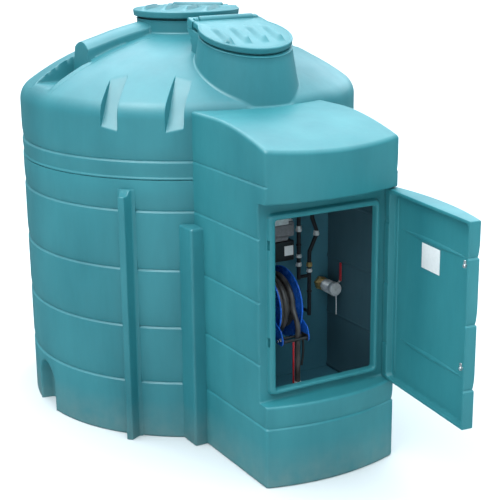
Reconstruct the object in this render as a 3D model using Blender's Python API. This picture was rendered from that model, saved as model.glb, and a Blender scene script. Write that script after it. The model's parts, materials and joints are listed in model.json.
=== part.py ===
# Bunded upright storage tank with a dispensing cabinet on its front.
# Metres, +Z up. The tank's axis is the Z axis, its foot is at Z = 0, and the cabinet faces -Y.
# Bearings are degrees round the tank, from the cabinet side (-Y) towards -X.
import math

import bmesh
import bpy
from mathutils import Matrix, Vector

TANK_RADIUS = 1.05
WALL = 0.012
ROUND_STEPS = 72
GAP = 0.0004
SEAT = 0.0012
WELD = 0.00005
FOOT_RADIUS = 0.015

GROOVE_LEVELS = (0.347, 0.690, 1.036, 1.382)
GROOVE_DEPTH = 0.009
GROOVE_HALF = 0.010
SKIRT_FOOT = 1.563
BAND_LINE = 1.670

SHOULDER_HEIGHT = 1.901
SHOULDER_RADIUS = 0.120
SHOULDER_SLOPE = math.radians(36.0)
DOME_RADIUS = 1.610
ROOF_SLOPE = math.radians(17.0)
NECK_HOLE = 0.268
QUARTERS = {"front": -45, "left": 45, "back": 135, "right": 225}

FLAT_WIDTH = 0.100
FLAT_PAIRS = (41.9, 221.9)
FLAT_APART = 0.380
FLAT_LOW = (1.033, 1.841)
FLAT_HIGH = (0.826, 2.088)

CHANNEL_HALF = 0.122
CHANNEL_FLOOR = 2.018
CHANNEL_END = 0.720
RIB_HALF = 0.100
RIB_EDGE_LINE = ((0.270, 2.340), (0.400, 2.314), (0.500, 2.290), (0.600, 2.261), (0.712, 2.229))
RIB_CROWN = 0.036
RIB_UNDER_LID = 2.362

MAIN_NECK_RADIUS = 0.308
MAIN_NECK_TOP = 2.372
MAIN_LID = {
    "radius": 0.330, "rim": 0.055, "leave": 40.0, "corner": (0.245, 0.300), "axis": (0.246, 0.049),
    "bar_half": 0.165, "support_half": 0.243, "ridges": (-0.203, -0.068, 0.068, 0.203),
    "ridge_reach": (0.130, -0.180),
}
MAIN_HINGE_TURN = math.radians(-45.0)

TURRET_Y = -0.727
TURRET_LID_Z = 2.342
TURRET_TILT = math.radians(15.2)
TURRET_FOOT_RADIUS = 0.328
TURRET_BORE = 0.235
TURRET_ROOF_HOLE = 0.262
TURRET_LID = {
    "radius": 0.276, "rim": 0.050, "leave": 31.3, "corner": (0.230, 0.289), "axis": (0.237, 0.044),
    "bar_half": 0.180, "support_half": 0.228, "ridges": (-0.170, -0.058, 0.054, 0.166),
    "ridge_reach": (0.120, -0.130),
}

BAR_RADIUS = 0.026
PIN_RADIUS = 0.006
PIN_BORE = 0.0075
LUG_RADIUS = 0.016
SWING_GAP = 0.0055
SWING_REACH = 0.066
COLLAR = 0.017

FIN_BEARINGS = {"front_left": 47.4, "back_left": 132.6, "back_right": 227.4, "front_right": 312.6}
FIN_HEIGHT = 1.505
FIN_ROOT = 0.095
FIN_TIP = 0.034
FIN_REACH = 0.078
FIN_FALL = 0.045

POCKET_HALF = 0.120
POCKET_HEIGHT = 0.294
POCKET_DEPTH = 0.085

CAB_LEFT = -0.463
CAB_RIGHT = 0.373
CAB_CORNER_Y = -1.728
CAB_BOW = 0.070
CAB_SKIN = 0.012
CAB_EDGE = 0.018
CAB_ROOF_Z = 1.950
CAB_FRONT_Z = 1.858
CAB_GROOVE = 0.006
FASCIA_FOOT = 1.576
SILL_Z = 0.473
RECESS_Y = -1.655
BULKHEAD_Y = -1.070
FLOOR_Z = 0.330
BUTTRESS_HEIGHT = 1.310
BUTTRESS_WIDTH = 0.076
BUTTRESS_REACH = -1.048

RIM_OUTER = (-0.400, 0.295, 0.510, 1.510)
RIM_INNER = (-0.355, 0.255, 0.555, 1.462)
RIM_DEPTH = 0.027

DOOR_OPEN = math.radians(83.4)
DOOR_HINGE_X = 0.352
DOOR_HINGE_Y = -1.697
DOOR_FOOT = 0.479
DOOR_TOP = 1.568
DOOR_DEPTH = 0.063
DOOR_BORDER = 0.018
DOOR_BOW = 0.048
DOOR_PAN_DEPTH = 0.036
DOOR_PAN_RIGHT = 0.314
DOOR_RIDGES = (1.362, 0.738)
LATCH_LEVELS = {"upper": 1.335, "lower": 0.800}
LATCH_X = -0.4205
CAM_REACH = 0.0295

REEL_X = -0.1545
REEL_Y = -1.290
REEL_Z = 0.886
REEL_RADIUS = 0.205
REEL_WIDTH = 0.141
REEL_CORE = 0.085
DISC_THICK = 0.004
WINDING_RADIUS = 0.177

HOSE_RADIUS = 0.015
HOSE_X = -0.115
GUIDE_Y = -1.500
GUIDE_Z = 0.735
HOSE_END_Z = 0.478
RED_PIPE_X = -0.150

VALVE_X = 0.304
VALVE_Z = 0.873
LEVER_Y = -1.175

TANK_GREEN = (0.055, 0.300, 0.320)
CABINET_GREEN = (0.050, 0.275, 0.300)
INSIDE_GREEN = (0.020, 0.120, 0.130)
BLUE = (0.010, 0.090, 0.420)
BLACK = (0.012, 0.012, 0.013)
STEEL = (0.620, 0.620, 0.600)


def finish(name, colour, roughness, metallic=0.0):
    made = bpy.data.materials.get(name)
    if made:
        return made
    made = bpy.data.materials.new(name)
    made.use_nodes = True
    shader = made.node_tree.nodes["Principled BSDF"]
    shader.inputs["Base Color"].default_value = (*colour, 1.0)
    shader.inputs["Roughness"].default_value = roughness
    shader.inputs["Metallic"].default_value = metallic
    return made


def clear_scene():
    for obj in list(bpy.data.objects):
        bpy.data.objects.remove(obj, do_unlink=True)


def add(name, bm, colour=TANK_GREEN, roughness=0.5, metallic=0.0):
    """A new object that holds this bmesh, with its own material."""
    bmesh.ops.recalc_face_normals(bm, faces=bm.faces)
    mesh = bpy.data.meshes.new(name)
    bm.to_mesh(mesh)
    bm.free()
    mesh.shade_smooth()
    mesh.set_sharp_from_angle(angle=math.radians(30))
    obj = bpy.data.objects.new(name, mesh)
    bpy.context.collection.objects.link(obj)
    mesh.materials.append(finish(name, colour, roughness, metallic))
    return obj


def helper(name, bm):
    obj = add(name, bm)
    obj.hide_render = True
    obj.display_type = "WIRE"
    return obj


def boolean(target, other, operation="DIFFERENCE"):
    step = target.modifiers.new(other.name, "BOOLEAN")
    step.operation = operation
    step.solver = "EXACT"
    step.object = other
    return target


def bearing(degrees):
    """The direction in plan of a bearing round the tank."""
    turn = math.radians(degrees)
    return Vector((-math.sin(turn), -math.cos(turn), 0.0))


def swept(profile, start, sweep, steps):
    """A closed (radius, z) outline swept round the Z axis from one bearing through an angle."""
    bm = bmesh.new()
    ahead = bearing(start)
    corners = [bm.verts.new(ahead * r + Vector((0, 0, z))) for r, z in profile]
    face = bm.faces.new(corners)
    parts = list(face.edges) + corners
    if abs(sweep) > 359.9:
        bmesh.ops.delete(bm, geom=[face], context="FACES_ONLY")
    else:
        parts.append(face)
    bmesh.ops.spin(
        bm, geom=parts, cent=(0, 0, 0), axis=(0, 0, -1), angle=math.radians(sweep),
        steps=steps, use_duplicate=False,
    )
    bmesh.ops.remove_doubles(bm, verts=bm.verts, dist=WELD)
    bmesh.ops.dissolve_degenerate(bm, edges=bm.edges, dist=WELD)
    return bm


def turned(profile, steps=ROUND_STEPS, start=0.0):
    return swept(profile, start, 360.0, steps)


def lofted(sections):
    """Closed outlines of as many points each, joined in turn and capped at both ends."""
    bm = bmesh.new()
    rings = [[bm.verts.new(point) for point in section] for section in sections]
    for lower, upper in zip(rings, rings[1:]):
        for i in range(len(lower)):
            bm.faces.new((lower[i - 1], lower[i], upper[i], upper[i - 1]))
    bm.faces.new(rings[0])
    bm.faces.new(rings[-1])
    return bm


def prism(outline, axis, low, high):
    """An outline pushed along an axis. Its pairs are the other two coordinates, in X, Y, Z order."""
    place = {
        "X": lambda a, b, c: (c, a, b),
        "Y": lambda a, b, c: (a, c, b),
        "Z": lambda a, b, c: (a, b, c),
    }[axis]
    return lofted([[place(a, b, c) for a, b in outline] for c in (low, high)])


def block(low, high):
    bm = bmesh.new()
    middle = (Vector(low) + Vector(high)) / 2
    size = Vector(high) - Vector(low)
    bmesh.ops.create_cube(bm, size=1.0, matrix=Matrix.LocRotScale(middle, None, size))
    return bm


def rod(start, end, radius, sides=12):
    bm = bmesh.new()
    start, end = Vector(start), Vector(end)
    along = end - start
    turn = along.to_track_quat("Z", "Y").to_matrix().to_4x4()
    bmesh.ops.create_cone(
        bm, cap_ends=True, segments=sides, radius1=radius, radius2=radius,
        depth=along.length, matrix=Matrix.Translation((start + end) / 2) @ turn,
    )
    return bm


def moved(bm, place):
    bmesh.ops.transform(bm, matrix=place, verts=bm.verts)
    return bm


def rounded(outline, radius, steps=3):
    """The outline with each corner replaced by a soft curve."""
    points = []
    count = len(outline)
    for i in range(count):
        corner = Vector(outline[i])
        before = Vector(outline[i - 1]) - corner
        after = Vector(outline[(i + 1) % count]) - corner
        reach = min(radius, before.length * 0.45, after.length * 0.45)
        start = corner + before.normalized() * reach
        end = corner + after.normalized() * reach
        for k in range(steps + 1):
            t = k / steps
            points.append(tuple(start * (1 - t) ** 2 + corner * 2 * t * (1 - t) + end * t ** 2))
    return points


def rectangle(left, right, low, high):
    return [(left, low), (right, low), (right, high), (left, high)]


def joined(name, parts, **look):
    """Overlapping bmeshes made one body."""
    whole = add(name, parts[0], **look)
    for number, part in enumerate(parts[1:], 1):
        boolean(whole, helper(f"{name}_part_{number}", part), "UNION")
    return whole


def grooved(outline_at, low, high, levels, edge, depth=CAB_GROOVE):
    """A stack of outlines with a V groove at each level and softened top and bottom edges."""
    rings = [(low, edge), (low + edge, 0.0)]
    for level in levels:
        rings += [(level - GROOVE_HALF, 0.0), (level, depth), (level + GROOVE_HALF, 0.0)]
    rings += [(high - edge, 0.0), (high, edge)]
    return lofted([[(x, y, z) for x, y in outline_at(inset)] for z, inset in rings])


def roof_line(offset=0.0, hole=0.0):
    """The roof's line from the wall over its shoulder and dome to its top, moved inwards by an offset."""
    centre = TANK_RADIUS - SHOULDER_RADIUS
    turn = math.pi / 2 - SHOULDER_SLOPE
    last = math.pi / 2 - ROOF_SLOPE
    apart = DOME_RADIUS - SHOULDER_RADIUS
    hub = (centre - apart * math.cos(turn), SHOULDER_HEIGHT - apart * math.sin(turn))
    line = []
    for k in range(5):
        reach, angle = SHOULDER_RADIUS - offset, turn * k / 4
        line.append((centre + reach * math.cos(angle), SHOULDER_HEIGHT + reach * math.sin(angle)))
    for k in range(1, 5):
        reach, angle = DOME_RADIUS - offset, turn + (last - turn) * k / 4
        line.append((hub[0] + reach * math.cos(angle), hub[1] + reach * math.sin(angle)))
    r, z = line[-1]
    return line + [(hole, z + (r - hole) * math.tan(ROOF_SLOPE))]


def roof_height(radius):
    line = roof_line()
    for (r0, z0), (r1, z1) in zip(line, line[1:]):
        if r1 <= radius <= r0:
            return z0 + (z1 - z0) * (r0 - radius) / (r0 - r1)
    return line[0][1]


def roof_solid(name, offset):
    """The space under the roof's line, from a little below the cabinet's roof, left open on the axis."""
    low, hub = 1.5, 0.1
    return helper(name, turned([(hub, low), (TANK_RADIUS - offset, low)] + roof_line(offset, hub)))


def flat_cutter(name, degrees, side, offset):
    """Cuts one of a pair of flats that run down the shoulder side by side, from FLAT_HIGH to FLAT_LOW."""
    beyond = 0.12
    low, high = Vector(FLAT_LOW), Vector(FLAT_HIGH)
    along = (high - low).normalized()
    out = Vector((along.y, -along.x))
    half = FLAT_WIDTH / 2 + offset
    start = low - along * beyond - out * offset
    end = high + along * beyond - out * offset
    corners = [start, end, end + out * beyond, start + out * beyond]
    middle = side * FLAT_APART / 2
    bm = prism([tuple(p) for p in corners], "Y", middle - half, middle + half)
    return helper(name, moved(bm, Matrix.Rotation(math.radians(-90 - degrees), 4, "Z")))


def channel_cutter(name, side, offset):
    low, high = sorted((side * (CHANNEL_END - offset), side * (TANK_RADIUS + 0.1)))
    half = CHANNEL_HALF + offset
    return helper(name, block((low, -half, CHANNEL_FLOOR - offset), (high, half, 2.5)))


def quarter(profile, start):
    """A quarter of a round moulding, with half of the seam's gap left at each end."""
    seam = math.degrees(GAP / TANK_RADIUS)
    return swept(profile, start + seam, 90 - 2 * seam, ROUND_STEPS // 4)


def make_roof():
    """Skirt over the wall, shoulder with its flats, and the sloping top, in four quarters."""
    skirt = [
        (NECK_HOLE, SKIRT_FOOT),
        (TANK_RADIUS, SKIRT_FOOT),
        (TANK_RADIUS, BAND_LINE - GROOVE_HALF),
        (TANK_RADIUS - GROOVE_DEPTH, BAND_LINE),
        (TANK_RADIUS, BAND_LINE + GROOVE_HALF),
    ]
    below = SKIRT_FOOT - 0.05
    hub = NECK_HOLE - 0.1
    void = helper("roof_void", turned([(hub, below), (TANK_RADIUS - WALL, below)] + roof_line(WALL, hub)))
    for turn in FLAT_PAIRS:
        for side in (-1, 1):
            boolean(void, flat_cutter(f"flat_{turn:.0f}_{side}_back", turn, side, WALL))
    for side, word in ((-1, "left"), (1, "right")):
        boolean(void, channel_cutter(f"channel_{word}_back", side, WALL))
    for word, start in QUARTERS.items():
        roof = add(f"roof_{word}", quarter(skirt + roof_line(0.0, NECK_HOLE), start), TANK_GREEN, 0.45)
        for turn in FLAT_PAIRS:
            for side in (-1, 1):
                boolean(roof, flat_cutter(f"{word}_flat_{turn:.0f}_{side}", turn, side, 0.0))
        if word in ("left", "right"):
            side = 1 if word == "right" else -1
            boolean(roof, channel_cutter(f"channel_{word}", side, 0.0))
        boolean(roof, void)
        if word == "front":
            hole = rod((0, TURRET_Y, 1.7), (0, TURRET_Y, 2.6), TURRET_ROOF_HOLE, 36)
            boolean(roof, helper("turret_hole", hole))


def wall_profile():
    top = SKIRT_FOOT - GAP
    outer = [(TANK_RADIUS - FOOT_RADIUS, 0.0), (TANK_RADIUS - 0.004, 0.006), (TANK_RADIUS, FOOT_RADIUS)]
    for level in GROOVE_LEVELS:
        outer.append((TANK_RADIUS, level - GROOVE_HALF))
        outer.append((TANK_RADIUS - GROOVE_DEPTH, level))
        outer.append((TANK_RADIUS, level + GROOVE_HALF))
    outer.append((TANK_RADIUS, top - 0.012))
    outer.append((TANK_RADIUS - 0.005, top))
    inside = TANK_RADIUS - 2 * WALL
    return [(inside, 0.0)] + outer + [(inside, top)]


def arch(half, height, steps=6):
    spring = height - half
    curve = [
        (half * math.cos(math.pi * k / steps), spring + half * math.sin(math.pi * k / steps))
        for k in range(steps + 1)
    ]
    return [(half, -0.05)] + curve + [(-half, -0.05)]


def make_walls():
    for word, start in QUARTERS.items():
        wall = add(f"wall_{word}", quarter(wall_profile(), start), TANK_GREEN, 0.5)
        side = {"left": -1, "right": 1}.get(word)
        if side:
            low, high = sorted((side * 0.8, side * 1.2))
            pocket = prism(arch(POCKET_HALF, POCKET_HEIGHT), "X", low, high)
            boolean(wall, helper(f"wall_{word}_pocket", pocket))


def make_pockets():
    """A moulded niche behind each arch at the wall's foot."""
    half, height = POCKET_HALF - GAP, POCKET_HEIGHT - GAP
    for side, word in ((-1, "left"), (1, "right")):
        outer_x = side * (TANK_RADIUS - 0.008)
        inner_x = side * (TANK_RADIUS - POCKET_DEPTH)
        shell = [(a, max(b, 0.0)) for a, b in arch(half, height)]
        low, high = sorted((outer_x, inner_x))
        niche = add(f"tie_pocket_{word}", prism(shell, "X", low, high), TANK_GREEN, 0.5)
        low, high = sorted((side * (TANK_RADIUS + 0.1), inner_x + side * 0.010))
        space = prism(arch(POCKET_HALF - 0.010, POCKET_HEIGHT - 0.010), "X", low, high)
        boolean(niche, helper(f"pocket_space_{word}", space))


def make_base():
    inside = TANK_RADIUS - 2 * WALL - GAP
    disc = turned([(0.0, 0.0), (inside, 0.0), (inside, 0.020), (0.0, 0.020)])
    base = add("tank_base", disc, TANK_GREEN, 0.55)
    half = POCKET_HALF + GAP
    for side, word in ((-1, "left"), (1, "right")):
        low, high = sorted((side * (TANK_RADIUS - POCKET_DEPTH - GAP), side * 1.2))
        boolean(base, helper(f"base_notch_{word}", block((low, -half, -0.1), (high, half, 0.1))))


def make_fins():
    """Tapered buttress fins that stand on the ground against the wall, with a top that falls outwards."""
    back = TANK_RADIUS + SEAT
    tip = TANK_RADIUS + FIN_REACH
    side = [
        (back, -FIN_ROOT / 2), (back + 0.014, -FIN_ROOT / 2 + 0.004), (tip - 0.012, -FIN_TIP / 2),
        (tip, -FIN_TIP / 2 + 0.006),
    ]
    plan = side + [(r, -across) for r, across in reversed(side)]
    for word, degrees in FIN_BEARINGS.items():
        rings = []
        for level in (0.0, FIN_HEIGHT - FIN_FALL - 0.03, FIN_HEIGHT):
            fall = FIN_FALL if level == FIN_HEIGHT else 0.0
            rings.append([(r, across, level - fall * (r > back + 0.020)) for r, across in plan])
        turn = Matrix.Rotation(math.radians(-90 - degrees), 4, "Z")
        add(f"fin_{word}", moved(lofted(rings), turn), TANK_GREEN, 0.5)


def make_roof_ribs():
    """A raised rib on each side, crowned across, from the manhole neck to the end of its channel."""
    for side, word in ((-1, "left"), (1, "right")):
        sections = []
        for x, edge in RIB_EDGE_LINE:
            foot = CHANNEL_FLOOR + GAP
            across = [(-RIB_HALF, foot), (RIB_HALF, foot), (RIB_HALF, edge - 0.014)]
            for y in (RIB_HALF - 0.014, RIB_HALF / 2, 0.0, -RIB_HALF / 2, 0.014 - RIB_HALF):
                across.append((y, edge + RIB_CROWN * (1 - (y / RIB_HALF) ** 2)))
            across.append((-RIB_HALF, edge - 0.014))
            sections.append([(side * x, y, z) for y, z in across])
        rib = add(f"roof_rib_{word}", lofted(sections), TANK_GREEN, 0.45)
        boolean(rib, roof_solid(f"under_rib_{word}", -GAP))
        reach = MAIN_NECK_RADIUS + SEAT
        boolean(rib, helper(f"neck_{word}", rod((0, 0, 2.1), (0, 0, 2.6), reach, 48)))
        reach = MAIN_LID["radius"] + 0.012
        boolean(rib, helper(f"lid_{word}", rod((0, 0, RIB_UNDER_LID), (0, 0, 2.6), reach, 48)))


def lid_outline(shape, scale=1.0, steps=28):
    """A round lid, local +y to its hinge, drawn out there to two square corners."""
    leave = math.radians(shape["leave"])
    radius = shape["radius"]
    points = []
    for k in range(steps + 1):
        angle = math.pi - leave + (math.pi + 2 * leave) * k / steps
        points.append((radius * math.cos(angle) * scale, radius * math.sin(angle) * scale))
    x, y = shape["corner"]
    return points + [(x * scale, y * scale), (-x * scale, y * scale)]


def lid_ridge(x, reach, top):
    """A low rib on a lid, tapered at both ends."""
    start, end = reach
    sections = []
    steps = ((0.0, 0.006, 0.001), (0.18, 0.022, 0.012), (0.80, 0.026, 0.012), (1.0, 0.008, 0.001))
    for t, width, rise in steps:
        y = start + (end - start) * t
        across = [(-width, top - 0.004), (-width, top), (-width / 2, top + rise), (width / 2, top + rise)]
        across += [(width, top), (width, top - 0.004)]
        sections.append([(x + a, y, z) for a, z in across])
    return lofted(sections)


def make_lid(name, shape, place):
    """A dished lid with a rolled rim and low ribs, on a hinge bar that its pin runs through."""
    rim = shape["rim"]
    axis_y, axis_z = shape["axis"]
    half = shape["bar_half"]
    seam = axis_y - BAR_RADIUS + 0.002
    bm = prism(lid_outline(shape), "Z", 0.004, rim)
    top = [f for f in bm.faces if all(v.co.z > rim - WELD for v in f.verts)]
    bmesh.ops.inset_region(bm, faces=top, thickness=0.020, depth=0.0)
    bmesh.ops.translate(bm, verts=list({v for f in top for v in f.verts}), vec=(0, 0, 0.010))
    lid = add(name, moved(bm, place), TANK_GREEN, 0.4)
    hollow = [(x, min(y, seam - 0.012)) for x, y in lid_outline(shape, 0.93)]
    cuts = {
        "hollow": prism(hollow, "Z", -0.05, rim - 0.010),
        "left_notch": block((-0.5, seam, -0.05), (-half, 0.5, 0.2)),
        "right_notch": block((half, seam, -0.05), (0.5, 0.5, 0.2)),
        "back": block((-half - 0.01, axis_y, -0.05), (half + 0.01, 0.5, 0.2)),
    }
    for word, cutter in cuts.items():
        boolean(lid, helper(f"{name}_{word}", moved(cutter, place)))
    for number, x in enumerate(shape["ridges"], 1):
        ridge = lid_ridge(x, shape["ridge_reach"], rim + 0.010)
        boolean(lid, helper(f"{name}_ridge_{number}", moved(ridge, place)), "UNION")
    end = half - 0.0008
    bar = rod((-end, axis_y, axis_z), (end, axis_y, axis_z), BAR_RADIUS, 20)
    boolean(lid, helper(f"{name}_knuckle", moved(bar, place)), "UNION")
    bore = rod((-0.5, axis_y, axis_z), (0.5, axis_y, axis_z), PIN_BORE, 12)
    boolean(lid, helper(f"{name}_bore", moved(bore, place)))


def make_lid_hinge(name, shape, place):
    """The fixed block behind a lid, with a lug at each end of the bar and the pin between them."""
    axis_y, axis_z = shape["axis"]
    half = shape["bar_half"] + SWING_GAP
    seam = axis_y - BAR_RADIUS + 0.002 + SWING_GAP + 0.0005
    behind = axis_y + BAR_RADIUS + SWING_GAP
    base = prism(lid_outline(shape), "Z", 0.0, shape["rim"])
    hinge = add(name, moved(base, place), TANK_GREEN, 0.4)
    boolean(hinge, helper(f"{name}_front", moved(block((-0.5, -0.5, -0.1), (0.5, seam, 0.2)), place)))
    boolean(hinge, helper(f"{name}_slot", moved(block((-half, 0.0, -0.1), (half, behind, 0.2)), place)))
    for side, word in ((-1, "left"), (1, "right")):
        start, end = side * (half + 0.0008), side * (half + 0.026)
        lug = rod((start, axis_y, axis_z), (end, axis_y, axis_z), LUG_RADIUS, 16)
        boolean(hinge, helper(f"{name}_{word}_lug", moved(lug, place)), "UNION")
    end = half + 0.012
    pin = rod((-end, axis_y, axis_z), (end, axis_y, axis_z), PIN_RADIUS, 12)
    boolean(hinge, helper(f"{name}_pin", moved(pin, place)), "UNION")


def finish_neck(neck, shape, place, bore, support):
    """Adds the tab that carries the hinge block, trims the neck, and stands the lid's collar on it."""
    half = shape["support_half"]
    tab = helper(f"{neck.name}_tab", moved(prism(support, "X", -half, half), place))
    boolean(neck, tab, "UNION")
    above = block((-0.6, -0.6, -0.002), (0.6, 0.6, 0.6))
    boolean(neck, helper(f"{neck.name}_above", moved(above, place)))
    boolean(neck, roof_solid(f"{neck.name}_roof", -GAP))
    top = shape["rim"] - 0.010 - GAP
    collar = turned([(bore, -0.008), (bore + COLLAR, -0.008), (bore + COLLAR, top), (bore, top)], 48)
    ring = helper(f"{neck.name}_collar", moved(collar, place))
    open_from = shape["axis"][0] - SWING_REACH
    gap = moved(block((-0.5, open_from, -0.1), (0.5, 0.5, 0.2)), place)
    boolean(ring, helper(f"{neck.name}_collar_gap", gap))
    boolean(neck, ring, "UNION")


def make_main_manhole():
    place = Matrix.Translation((0, 0, MAIN_NECK_TOP + 0.002)) @ Matrix.Rotation(MAIN_HINGE_TURN, 4, "Z")
    foot = roof_height(NECK_HOLE) - 0.04
    high = MAIN_NECK_TOP + 0.02
    inner = NECK_HOLE - 0.006
    profile = [(inner, foot), (MAIN_NECK_RADIUS, foot), (MAIN_NECK_RADIUS, high), (inner, high)]
    neck = add("main_neck", turned(profile, 48, 1.7), TANK_GREEN, 0.45)
    back = MAIN_LID["corner"][1] - 0.002
    support = [(0.230, 0.010), (back, 0.010), (back, -0.008), (back - 0.006, -0.010), (0.230, -0.010)]
    finish_neck(neck, MAIN_LID, place, NECK_HOLE - 0.004, support)
    boolean(neck, helper("neck_bore", rod((0, 0, 2.0), (0, 0, 2.7), NECK_HOLE, 48)))
    make_lid("main_lid", MAIN_LID, place)
    make_lid_hinge("main_lid_hinge", MAIN_LID, place)


def make_turret():
    """A flared neck whose top leans to the front, standing on the roof's shoulder."""
    rim = TURRET_LID["rim"]
    centre = (0, TURRET_Y, TURRET_LID_Z - rim * math.cos(TURRET_TILT))
    place = Matrix.Translation(centre) @ Matrix.Rotation(TURRET_TILT, 4, "X")
    low = CAB_ROOF_Z + 0.0015
    high = 2.48
    bm = bmesh.new()
    bmesh.ops.create_cone(
        bm, cap_ends=True, segments=48, radius1=TURRET_FOOT_RADIUS, radius2=0.236, depth=high - low,
        matrix=Matrix.Translation((0, TURRET_Y, (low + high) / 2)),
    )
    turret = add("turret_neck", bm, TANK_GREEN, 0.45)
    back = TURRET_LID["corner"][1] - 0.002
    support = [
        (0.10, 0.010), (back, 0.010), (back, -0.018), (back - 0.066, -0.052), (back - 0.048, -0.068),
        (back - 0.078, -0.098), (0.20, -0.150), (0.10, -0.150),
    ]
    finish_neck(turret, TURRET_LID, place, TURRET_BORE, support)
    bore = rod((0, TURRET_Y, 1.7), (0, TURRET_Y, 2.7), TURRET_BORE - 0.010, 48)
    boolean(turret, helper("turret_bore", bore))
    make_lid("turret_lid", TURRET_LID, place)
    make_lid_hinge("turret_lid_hinge", TURRET_LID, place)


def bow(x, depth=CAB_BOW, left=CAB_LEFT, right=CAB_RIGHT):
    """How far the cabinet's front stands out at x."""
    middle = (left + right) / 2
    half = (right - left) / 2
    return depth * (1 - ((x - middle) / half) ** 2)


def front_outline(inset=0.0, back_y=RECESS_Y, steps=12):
    """The cabinet's front in plan: two short sides and the bowed face between them."""
    left, right = CAB_LEFT + inset, CAB_RIGHT - inset
    points = [(left, back_y)]
    for k in range(steps + 1):
        x = left + (right - left) * k / steps
        points.append((x, CAB_CORNER_Y + inset - bow(x, left=left, right=right)))
    return points + [(right, back_y)]


def cabinet_top(y):
    """Height of the cabinet's roof: level at the back, curving down to the front edge."""
    start, end = -1.20, CAB_CORNER_Y
    if y >= start:
        return CAB_ROOF_Z
    t = min((y - start) / (end - start), 1.0)
    return CAB_ROOF_Z - (CAB_ROOF_Z - CAB_FRONT_Z) * t ** 1.7


def edge_drop(distance):
    """How far a rounded edge has fallen at this distance in from it."""
    left = max(CAB_EDGE - distance, 0.0)
    return CAB_EDGE - math.sqrt(CAB_EDGE ** 2 - left ** 2)


def make_cabinet_roof():
    """A thin curved lid over the whole cabinet, with rounded edges, cut round the tank at the back."""
    width = CAB_RIGHT - CAB_LEFT
    near_edge = [0.0, 0.004, 0.010, CAB_EDGE]
    across = near_edge + [width * k / 10 for k in range(1, 10)] + [width - d for d in reversed(near_edge)]
    rows_to_edge = 8
    bm = bmesh.new()
    rows = []
    for j in range(rows_to_edge + 4):
        row = []
        for offset in across:
            x = CAB_LEFT + offset
            back = -math.sqrt((TANK_RADIUS + SEAT) ** 2 - x * x)
            front = CAB_CORNER_Y - bow(x)
            if j < rows_to_edge:
                y = back + (front + CAB_EDGE - back) * j / rows_to_edge
            else:
                y = front + near_edge[rows_to_edge + 3 - j]
            drop = edge_drop(min(offset, width - offset)) + edge_drop(y - front)
            row.append(bm.verts.new((x, y, cabinet_top(y) - min(drop, CAB_EDGE))))
        rows.append(row)
    for upper, lower in zip(rows, rows[1:]):
        for i in range(len(across) - 1):
            bm.faces.new((upper[i], upper[i + 1], lower[i + 1], lower[i]))
    made = bmesh.ops.extrude_face_region(bm, geom=list(bm.faces))["geom"]
    underside = [v for v in made if isinstance(v, bmesh.types.BMVert)]
    bmesh.ops.translate(bm, vec=(0, 0, -CAB_SKIN), verts=underside)
    add("cabinet_roof", bm, CABINET_GREEN, 0.42)


def under_roof(y):
    return cabinet_top(y) - CAB_EDGE - CAB_SKIN - SEAT


def make_cabinet_sides():
    """The two sides, from the tank's wall to the recessed front, grooved like the tank."""
    front = RECESS_Y + GAP
    back = -0.955
    levels = GROOVE_LEVELS + (BAND_LINE,)
    top = [(y, under_roof(y)) for y in (back - 0.10, -1.20, -1.30, -1.40, -1.50, -1.58, front)]
    outline = [(front, 0.0), (back, 0.0), (back, SHOULDER_HEIGHT)] + top
    for word, outer, inner in (("left", CAB_LEFT, CAB_SKIN), ("right", CAB_RIGHT, -CAB_SKIN)):
        low, high = sorted((outer, outer + inner))
        wall = add(f"cabinet_{word}_wall", prism(outline, "X", low, high), CABINET_GREEN, 0.45)
        beyond = outer - math.copysign(0.02, inner)
        deep = outer + math.copysign(CAB_GROOVE, inner)
        spread = GROOVE_HALF * (0.02 + CAB_GROOVE) / CAB_GROOVE
        for number, level in enumerate(levels, 1):
            corners = [(beyond, level - spread), (deep, level), (beyond, level + spread)]
            boolean(wall, helper(f"{word}_groove_{number}", prism(corners, "Y", -1.8, -0.9)))
        tank = rod((0, 0, -0.1), (0, 0, 2.2), TANK_RADIUS + SEAT, ROUND_STEPS)
        boolean(wall, helper(f"{word}_tank", tank))


def make_fascia():
    fascia = add("fascia", grooved(front_outline, FASCIA_FOOT, CAB_ROOF_Z, (), 0.006), CABINET_GREEN, 0.42)
    void = prism(front_outline(CAB_SKIN, RECESS_Y + 0.05), "Z", FASCIA_FOOT + CAB_SKIN, CAB_ROOF_Z + 0.1)
    boolean(fascia, helper("fascia_void", void))
    profile = [(y, under_roof(y)) for y in (RECESS_Y + 0.1, -1.60, RECESS_Y, -1.69, CAB_CORNER_Y, -1.9)]
    profile += [(-1.9, 2.1), (RECESS_Y + 0.1, 2.1)]
    boolean(fascia, helper("above_fascia", prism(profile, "X", -0.6, 0.6)))


def make_plinth():
    """The bowed foot of the cabinet, with the sill that the door closes above."""
    body = grooved(front_outline, 0.0, SILL_Z, GROOVE_LEVELS[:1], 0.008)
    plinth = add("plinth", body, CABINET_GREEN, 0.45)
    void = prism(front_outline(CAB_SKIN + CAB_GROOVE, RECESS_Y + 0.05), "Z", -0.05, SILL_Z - CAB_SKIN)
    boolean(plinth, helper("plinth_void", void))


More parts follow.
